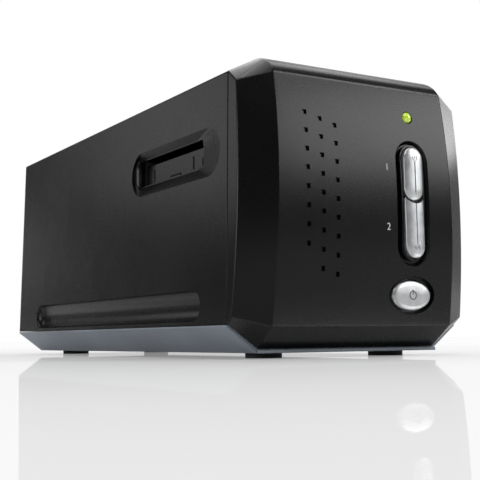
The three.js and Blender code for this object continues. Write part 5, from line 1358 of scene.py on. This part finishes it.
class SCANNER_OT_drive_belt(bpy.types.Operator):
    """Mould the toothed drive belt round its two pulleys"""

    bl_idname = "scanner.drive_belt"
    bl_label = "Drive belt"

    teeth = 196

    def execute(self, context):
        low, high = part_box("drive_belt")
        self.outer = (high.x - low.x) / 2
        self.front_y, self.rear_y = low.y + self.outer, high.y - self.outer
        self.middle_x = (low.x + high.x) / 2
        backs = [self.on_loop(k / 240, self.outer) for k in range(240)]
        land, tip = self.outer - 0.5 * MM, self.outer - 0.98 * MM
        fronts = [self.on_loop((tooth + part) / self.teeth, radius) for tooth in range(self.teeth)
                  for part, radius in ((0, land), (0.34, land), (0.46, tip), (0.88, tip))]
        belt = prism("drive_belt_toothed", backs, "z", [low.z, high.z])
        cut(belt, prism("inside", fronts, "z", [low.z - 1 * MM, high.z + 1 * MM]))
        dress(smooth(belt, math.radians(20)), "belt", "case", "drive_belt")
        return {"FINISHED"}

    def on_loop(self, share, radius):
        """A point of the loop: two straight runs and a half circle round each pulley."""
        pitch = self.outer - 0.5 * MM
        straight = self.rear_y - self.front_y
        along = share * (2 * straight + math.tau * pitch)
        if along < straight:
            return self.middle_x + radius, self.front_y + along
        along -= straight
        if along < math.pi * pitch:
            angle, pulley_y = along / pitch, self.rear_y
        else:
            along -= math.pi * pitch
            if along < straight:
                return self.middle_x - radius, self.rear_y - along
            angle, pulley_y = math.pi + (along - straight) / pitch, self.front_y
        return self.middle_x + radius * math.cos(angle), pulley_y + radius * math.sin(angle)


class SCANNER_OT_button_cable(bpy.types.Operator):
    """Lay the ribbed flat cable from the button board to the main board"""

    bl_idname = "scanner.button_cable"
    bl_label = "Button cable"

    cores = 11

    def execute(self, context):
        low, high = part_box("button_cable")
        half, bend = 0.4 * MM, 3 * MM
        front, rear, bend_z = low.y + half, high.y - half, low.z + half + bend
        route = [(front, high.z)]
        route += arc((front + bend, bend_z), bend, math.pi, 1.5 * math.pi, 8)
        route += arc((rear - bend, bend_z), bend, 1.5 * math.pi, math.tau, 8)
        route.append((rear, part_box("main_board")[0].z + 0.8 * MM))
        route = [Vector(place) for place in route]
        pitch = (high.x - low.x) / self.cores
        profile = [(low.x + pitch * k / 4, half * (0.45 + 0.5 * abs(math.sin(math.pi * (k % 4) / 4))))
                   for k in range(self.cores * 4 + 1)]
        rings = []
        for index, place in enumerate(route):
            ahead = route[min(index + 1, len(route) - 1)] - route[max(index - 1, 0)]
            normal = Vector((-ahead.y, ahead.x)).normalized()
            rings.append([Vector((x, *(place + normal * lift))) for x, lift in profile]
                         + [Vector((x, *(place - normal * lift))) for x, lift in reversed(profile)])
        cable = smooth(loft("button_cable_ribbed", rings), math.radians(50))
        dress(cable, "ribbon", "case", "button_cable", slot="belt")
        return {"FINISHED"}


# Operators: the rear


def soft_block(low, high, growth, radii, steps=3):
    """The outline of a box seen from behind, larger by a growth and with rounded corners."""
    outline = block_outline(low.x - growth, low.z - growth, high.x + growth, high.z + growth)
    return filleted(outline, radii, steps)


class SCANNER_OT_rear_panel(bpy.types.Operator):
    """Mould the rear panel with a chamfered window for each socket"""

    bl_idname = "scanner.rear_panel"
    bl_label = "Rear panel"

    def execute(self, context):
        low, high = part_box("rear_panel")
        panel = block("rear_panel_moulded", (low.x, low.z), (high.x, high.z), [low.y, high.y])
        rounded(panel, 0.3 * MM, 3, 60)
        fit, flare = 0.3 * MM, 1.1 * MM
        for name in ("usb_socket", "power_jack"):
            windows = [soft_block(*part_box(name), growth, [0.3 * MM + growth * 0.4] * 4, 4)
                       for growth in (fit, fit, flare, flare)]
            cut(panel, prism("window", windows, "y",
                             [low.y - 1 * MM, high.y - 0.8 * MM, high.y, high.y + 1 * MM]))
        dress(polished(panel), "casing", "case", "rear_panel")
        return {"FINISHED"}


class SCANNER_OT_sockets(bpy.types.Operator):
    """Make the square data socket and the round power socket"""

    bl_idname = "scanner.sockets"
    bl_label = "Sockets"

    def execute(self, context):
        self.make_data_socket(*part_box("usb_socket"))
        self.make_power_socket(*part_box("power_jack"))
        return {"FINISHED"}

    def make_data_socket(self, low, high):
        middle = (low + high) / 2
        radii = [0.6 * MM, 0.6 * MM, 1.6 * MM, 1.6 * MM]
        shell = prism("usb_socket_shell", soft_block(low, high, 0, radii, 4), "y", [low.y, high.y])
        wall, slant_x, slant_z = 1.8 * MM, 1.7 * MM, 1.9 * MM
        left, right, floor, roof = low.x + wall, high.x - wall, low.z + wall, high.z - wall
        mouth = [(left, floor), (right, floor), (right, roof - slant_z), (right - slant_x, roof),
                 (left + slant_x, roof), (left, roof - slant_z)]
        cut(shell, prism("mouth", mouth, "y", [high.y - 9 * MM, high.y + 1 * MM]))
        dress(polished(rounded(shell, 0.15 * MM, 2, 50)), "steel", "case", "usb_socket")
        half = Vector((2.8 * MM, 0, 1.6 * MM))
        tongue = prism("usb_socket_tongue", soft_block(middle - half, middle + half, 0, [0.3 * MM] * 4), "y",
                       [high.y - 9.2 * MM, high.y - 0.6 * MM])
        dress(polished(rounded(tongue, 0.2 * MM, 2, 60)), "dark_plastic", "case")
        for k, (across, level) in enumerate(((-1.25, 1.6), (1.25, 1.6), (-1.25, -1.6), (1.25, -1.6))):
            x, z = middle.x + across * MM, middle.z + level * MM
            strip = block(f"usb_contact_{k}", (x - 0.4 * MM, z - 0.05 * MM), (x + 0.4 * MM, z + 0.05 * MM),
                          [high.y - 8.6 * MM, high.y - 1.2 * MM])
            dress(rounded(strip, 0.03 * MM, 1, 60), "bronze", "case")

    def make_power_socket(self, low, high):
        middle, mouth_y = ((low.x + high.x) / 2, (low.z + high.z) / 2), high.y
        jack = prism("power_jack_block", soft_block(low, high, 0, [0.5 * MM] * 4), "y", [low.y, high.y])
        rounded(jack, 0.25 * MM, 2, 60)
        bore = ((-9, 3.2), (-0.35, 3.2), (0, 3.55), (1, 3.55))
        cut(jack, turned("bore", middle, [(mouth_y + y * MM, radius * MM) for y, radius in bore], 48))
        dress(polished(jack), "dark_plastic", "case", "power_jack")
        pin = ((-9.2, 1), (-1, 1), (-0.65, 0.85), (-0.5, 0.45))
        prong = turned("power_jack_pin", middle, [(mouth_y + y * MM, radius * MM) for y, radius in pin], 24)
        dress(polished(prong), "steel", "case")


class SCANNER_OT_button_numbers(bpy.types.Operator):
    """Print a plain number beside each scan button"""

    bl_idname = "scanner.button_numbers"
    bl_label = "Button numbers"

    def execute(self, context):
        sizes = context.scene.scanner_controls
        shape = Front(context.scene.scanner_case, context.scene.scanner_front)
        for digit, height in (("1", (sizes.upper_top + sizes.upper_bottom) / 2 + 2 * MM),
                              ("2", (sizes.upper_bottom + sizes.lower_bottom) / 2 + 0.5 * MM)):
            free_hands()
            bpy.ops.object.text_add(location=(CONTROLS_X - 13.5 * MM, FACE_FLAT_Y - 0.01 * MM, height),
                                    rotation=(RIGHT_TURN, 0, 0))
            text = bpy.context.object
            text.name = "button_number_" + digit
            text.data.body = digit
            text.data.size, text.data.extrude = 4.2 * MM, 0.02 * MM
            text.data.align_x = text.data.align_y = "CENTER"
            bpy.ops.object.convert(target="MESH")
            number = settle(bpy.context.object)
            with Editing(number, "VERT") as pen:
                bpy.ops.mesh.select_all(action="SELECT")
                bpy.ops.mesh.remove_doubles(threshold=0.001 * MM)
                pen.place_selected([v.co + Vector((0, shape.set_back(shape.face, v.co.z), 0))
                                    for v in bmesh.from_edit_mesh(number.data).verts])
            dress(smooth(number), "print", "case", slot="silver")
        return {"FINISHED"}


# Operators: the nodes that stay, and the stage


class SCANNER_OT_finish_nodes(bpy.types.Operator):
    """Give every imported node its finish"""

    bl_idname = "scanner.finish_nodes"
    bl_label = "Finish the packed nodes"

    def execute(self, context):
        slots = {part["node"]: part["material_slot"] for part in frame["record"]["subparts"]}
        for name, node in frame["nodes"].items():
            coat(node.data, MATERIALS[NODE_MATERIALS.get(name, slots[name])])
        return {"FINISHED"}


def soft_lamp(name, place, target, width, height, radiance):
    """One soft box that looks at a point and is this bright across its face."""
    bpy.ops.object.light_add(type="AREA", location=place)
    lamp = bpy.context.object
    lamp.name = name
    lamp.data.shape = "RECTANGLE"
    lamp.data.size, lamp.data.size_y = width, height
    lamp.data.energy = radiance * math.pi * width * height
    lamp.visible_camera = False
    lamp.rotation_euler = (Vector(target) - Vector(place)).to_track_quat("-Z", "Y").to_euler()


class Shades(Nodes):
    """Nodes for the floor and the world, on a tree that starts empty."""

    def __init__(self, holder):
        super().__init__(holder)
        self.tree.nodes.clear()

    def fade(self, value, *span):
        return self.ramp(value, *span, "SMOOTHSTEP")

    def place(self, output):
        point = self.node("ShaderNodeTexCoord", output=output)
        return self.node("ShaderNodeSeparateXYZ", {0: point}).node.outputs

    def picture_rays(self, glossy_share=1.0):
        """1 for the rays that see the white paper: camera, glass and mirror rays."""
        path = self.node("ShaderNodeLightPath").node.outputs
        seen = self.math("MAXIMUM", path["Is Camera Ray"], path["Is Transmission Ray"])
        return self.math("MAXIMUM", seen, self.math("MULTIPLY", path["Is Glossy Ray"], glossy_share))

    def finish(self, shader, kind):
        self.feed(shader, self.tree.nodes.new(kind).inputs["Surface"])


WHITE = (1, 1, 1, 1)


def paint_world(yaw):
    """White paper behind the scanner, and a soft studio that lights it from all round."""
    world = bpy.data.worlds.new("studio")
    bpy.context.scene.world = world
    shades = Shades(world)
    place = shades.place("Generated")
    across = shades.math("MULTIPLY", place["X"], math.sin(yaw))
    along = shades.math("MULTIPLY", place["Y"], math.cos(yaw))
    backdrop = shades.fade(shades.math("ADD", across, along), 0.7, 0.86, 0.0, 1.0)
    sky = shades.fade(place["Z"], -0.1, 0.95, 0.02, 0.12)
    studio = shades.node("ShaderNodeBackground", {"Color": WHITE, "Strength": sky})
    paper = shades.node("ShaderNodeBackground", {"Color": WHITE, "Strength": 1.0})
    seen = shades.node("ShaderNodeMixShader", {0: shades.picture_rays(backdrop), 1: studio, 2: paper})
    shades.finish(seen, "ShaderNodeOutputWorld")


def paint_floor(settings):
    """Pale floor: a soft shadow and a faint mirrored picture near the scanner, white paper far off."""
    material = bpy.data.materials.new("pale_floor")
    shades = Shades(material)
    place = shades.place("Object")
    squares = shades.math("ADD", shades.math("POWER", place["X"], 2), shades.math("POWER", place["Y"], 2))
    distance = shades.math("SQRT", squares)
    share = shades.fade(distance, 0.2, 0.7, settings.floor_paper, 1.0)
    matte = shades.node("ShaderNodeBsdfDiffuse", {"Color": (0.8, 0.8, 0.8, 1)})
    glow = shades.node("ShaderNodeEmission", {"Color": WHITE, "Strength": 1.0})
    seen = shades.math("MULTIPLY", shades.picture_rays(), share)
    paper = shades.node("ShaderNodeMixShader", {0: seen, 1: matte, 2: glow})
    gloss = shades.node("ShaderNodeBsdfGlossy", {"Roughness": 0.02})
    mirror = shades.fade(distance, 0.1, 0.55, settings.floor_mirror, settings.floor_mirror * 0.3)
    shades.finish(shades.node("ShaderNodeMixShader", {0: mirror, 1: paper, 2: gloss}),
                  "ShaderNodeOutputMaterial")
    return material


# Name, place, what it looks at, width, height and brightness
LAMPS = (
    ("key", (0.77, -0.77, 0.47), (0.02, -0.1, 0.07), 0.7, 0.36, 6.6),
    ("edge", (0.66, -0.7, 0.84), (0.02, -0.1, 0.1), 0.6, 0.14, 11),
    ("overhead", (0, 0.1, 1.1), (0, 0, 0.06), 1.0, 1.0, 2.4),
    ("front_left", (-0.5, -0.62, 1.0), (0, -0.1, 0.07), 0.6, 0.5, 2.8),
    ("left", (-1.1, -0.06, 0.22), (-0.06, 0, 0.06), 0.7, 0.3, 6),
    ("right", (1.08, 0.2, 0.44), (0.05, -0.1, 0.06), 0.5, 0.25, 4),
    ("right_high", (0.62, 0.25, 1.0), (0, -0.1, 0.1), 0.4, 0.4, 2.5),
    ("rear_high", (0.15, 0.6, 0.95), (0, -0.1, 0.1), 0.45, 0.35, 4),
    ("rear_left", (-0.72, 0.92, 0.4), (-0.06, -0.05, 0.08), 0.5, 0.3, 1.3),
    ("pocket_glint", (-0.75, 3.84, 0.42), (-0.056, -0.1, 0.087), 0.36, 0.36, 2),
)


class SCANNER_OT_stage(bpy.types.Operator):
    """Set up the pale floor, the soft lamps and the camera"""

    bl_idname = "scanner.stage"
    bl_label = "Stage"

    def execute(self, context):
        settings = context.scene.scanner_stage
        free_hands()
        bpy.ops.mesh.primitive_plane_add(size=settings.floor_size)
        floor = settle(bpy.context.object)
        floor.name = "studio_floor"
        floor.data.materials.append(paint_floor(settings))
        paint_world(settings.yaw)
        for lamp in LAMPS:
            soft_lamp(*lamp)
        sight = bpy.data.cameras.new("photo_camera")
        camera = bpy.data.objects.new("photo_camera", sight)
        context.scene.collection.objects.link(camera)
        ahead = Vector((math.sin(settings.yaw) * math.cos(settings.pitch),
                        math.cos(settings.yaw) * math.cos(settings.pitch), math.sin(settings.pitch)))
        facing = ahead.to_track_quat("-Z", "Y").to_matrix() @ Matrix.Rotation(settings.roll, 3, "Z")
        camera.matrix_world = Matrix.Translation(settings.eye) @ facing.to_4x4()
        sight.sensor_width = 36
        sight.lens = settings.lens
        sight.shift_x, sight.shift_y = settings.shift_x, settings.shift_y
        sight.clip_start, sight.clip_end = 0.01, 50
        context.scene.camera = camera
        context.scene.view_settings.view_transform = "Standard"
        return {"FINISHED"}


OPERATORS = [
    SCANNER_OT_stage,
    SCANNER_OT_finish_nodes,
    SCANNER_OT_front_bezel,
    SCANNER_OT_top_cover,
    SCANNER_OT_base_tray,
    SCANNER_OT_scan_buttons,
    SCANNER_OT_power_button,
    SCANNER_OT_lamp_window,
    SCANNER_OT_feet,
    SCANNER_OT_case_screws,
    SCANNER_OT_dust_doors,
    SCANNER_OT_springs,
    SCANNER_OT_drive_belt,
    SCANNER_OT_button_cable,
    SCANNER_OT_rear_panel,
    SCANNER_OT_sockets,
    SCANNER_OT_button_numbers,
]


class SCANNER_PT_pieces(bpy.types.Panel):
    """The steps that dress the scanner, in their order"""

    bl_label = "Film scanner"
    bl_space_type = "VIEW_3D"
    bl_region_type = "UI"
    bl_category = "Scanner"

    def draw(self, context):
        for operator in OPERATORS:
            self.layout.operator(operator.bl_idname)


GROUPS = {
    "scanner_case": CaseSizes,
    "scanner_front": FrontSizes,
    "scanner_controls": ControlSizes,
    "scanner_pockets": PocketSizes,
    "scanner_doors": DoorSizes,
    "scanner_stage": StageSettings,
}


def register():
    for group in GROUPS.values():
        bpy.utils.register_class(group)
    for name, group in GROUPS.items():
        setattr(bpy.types.Scene, name, PointerProperty(type=group))
    for operator in OPERATORS:
        bpy.utils.register_class(operator)
    bpy.utils.register_class(SCANNER_PT_pieces)


def unregister():
    bpy.utils.unregister_class(SCANNER_PT_pieces)
    for operator in reversed(OPERATORS):
        bpy.utils.unregister_class(operator)
    for name in GROUPS:
        delattr(bpy.types.Scene, name)
    for group in reversed(GROUPS.values()):
        bpy.utils.unregister_class(group)


def main():
    register()
    for operator in OPERATORS:
        group, name = operator.bl_idname.split(".")
        if getattr(getattr(bpy.ops, group), name)() != {"FINISHED"}:
            raise RuntimeError(f"{operator.bl_label} did not finish")


if __name__ == "__main__":
    main()
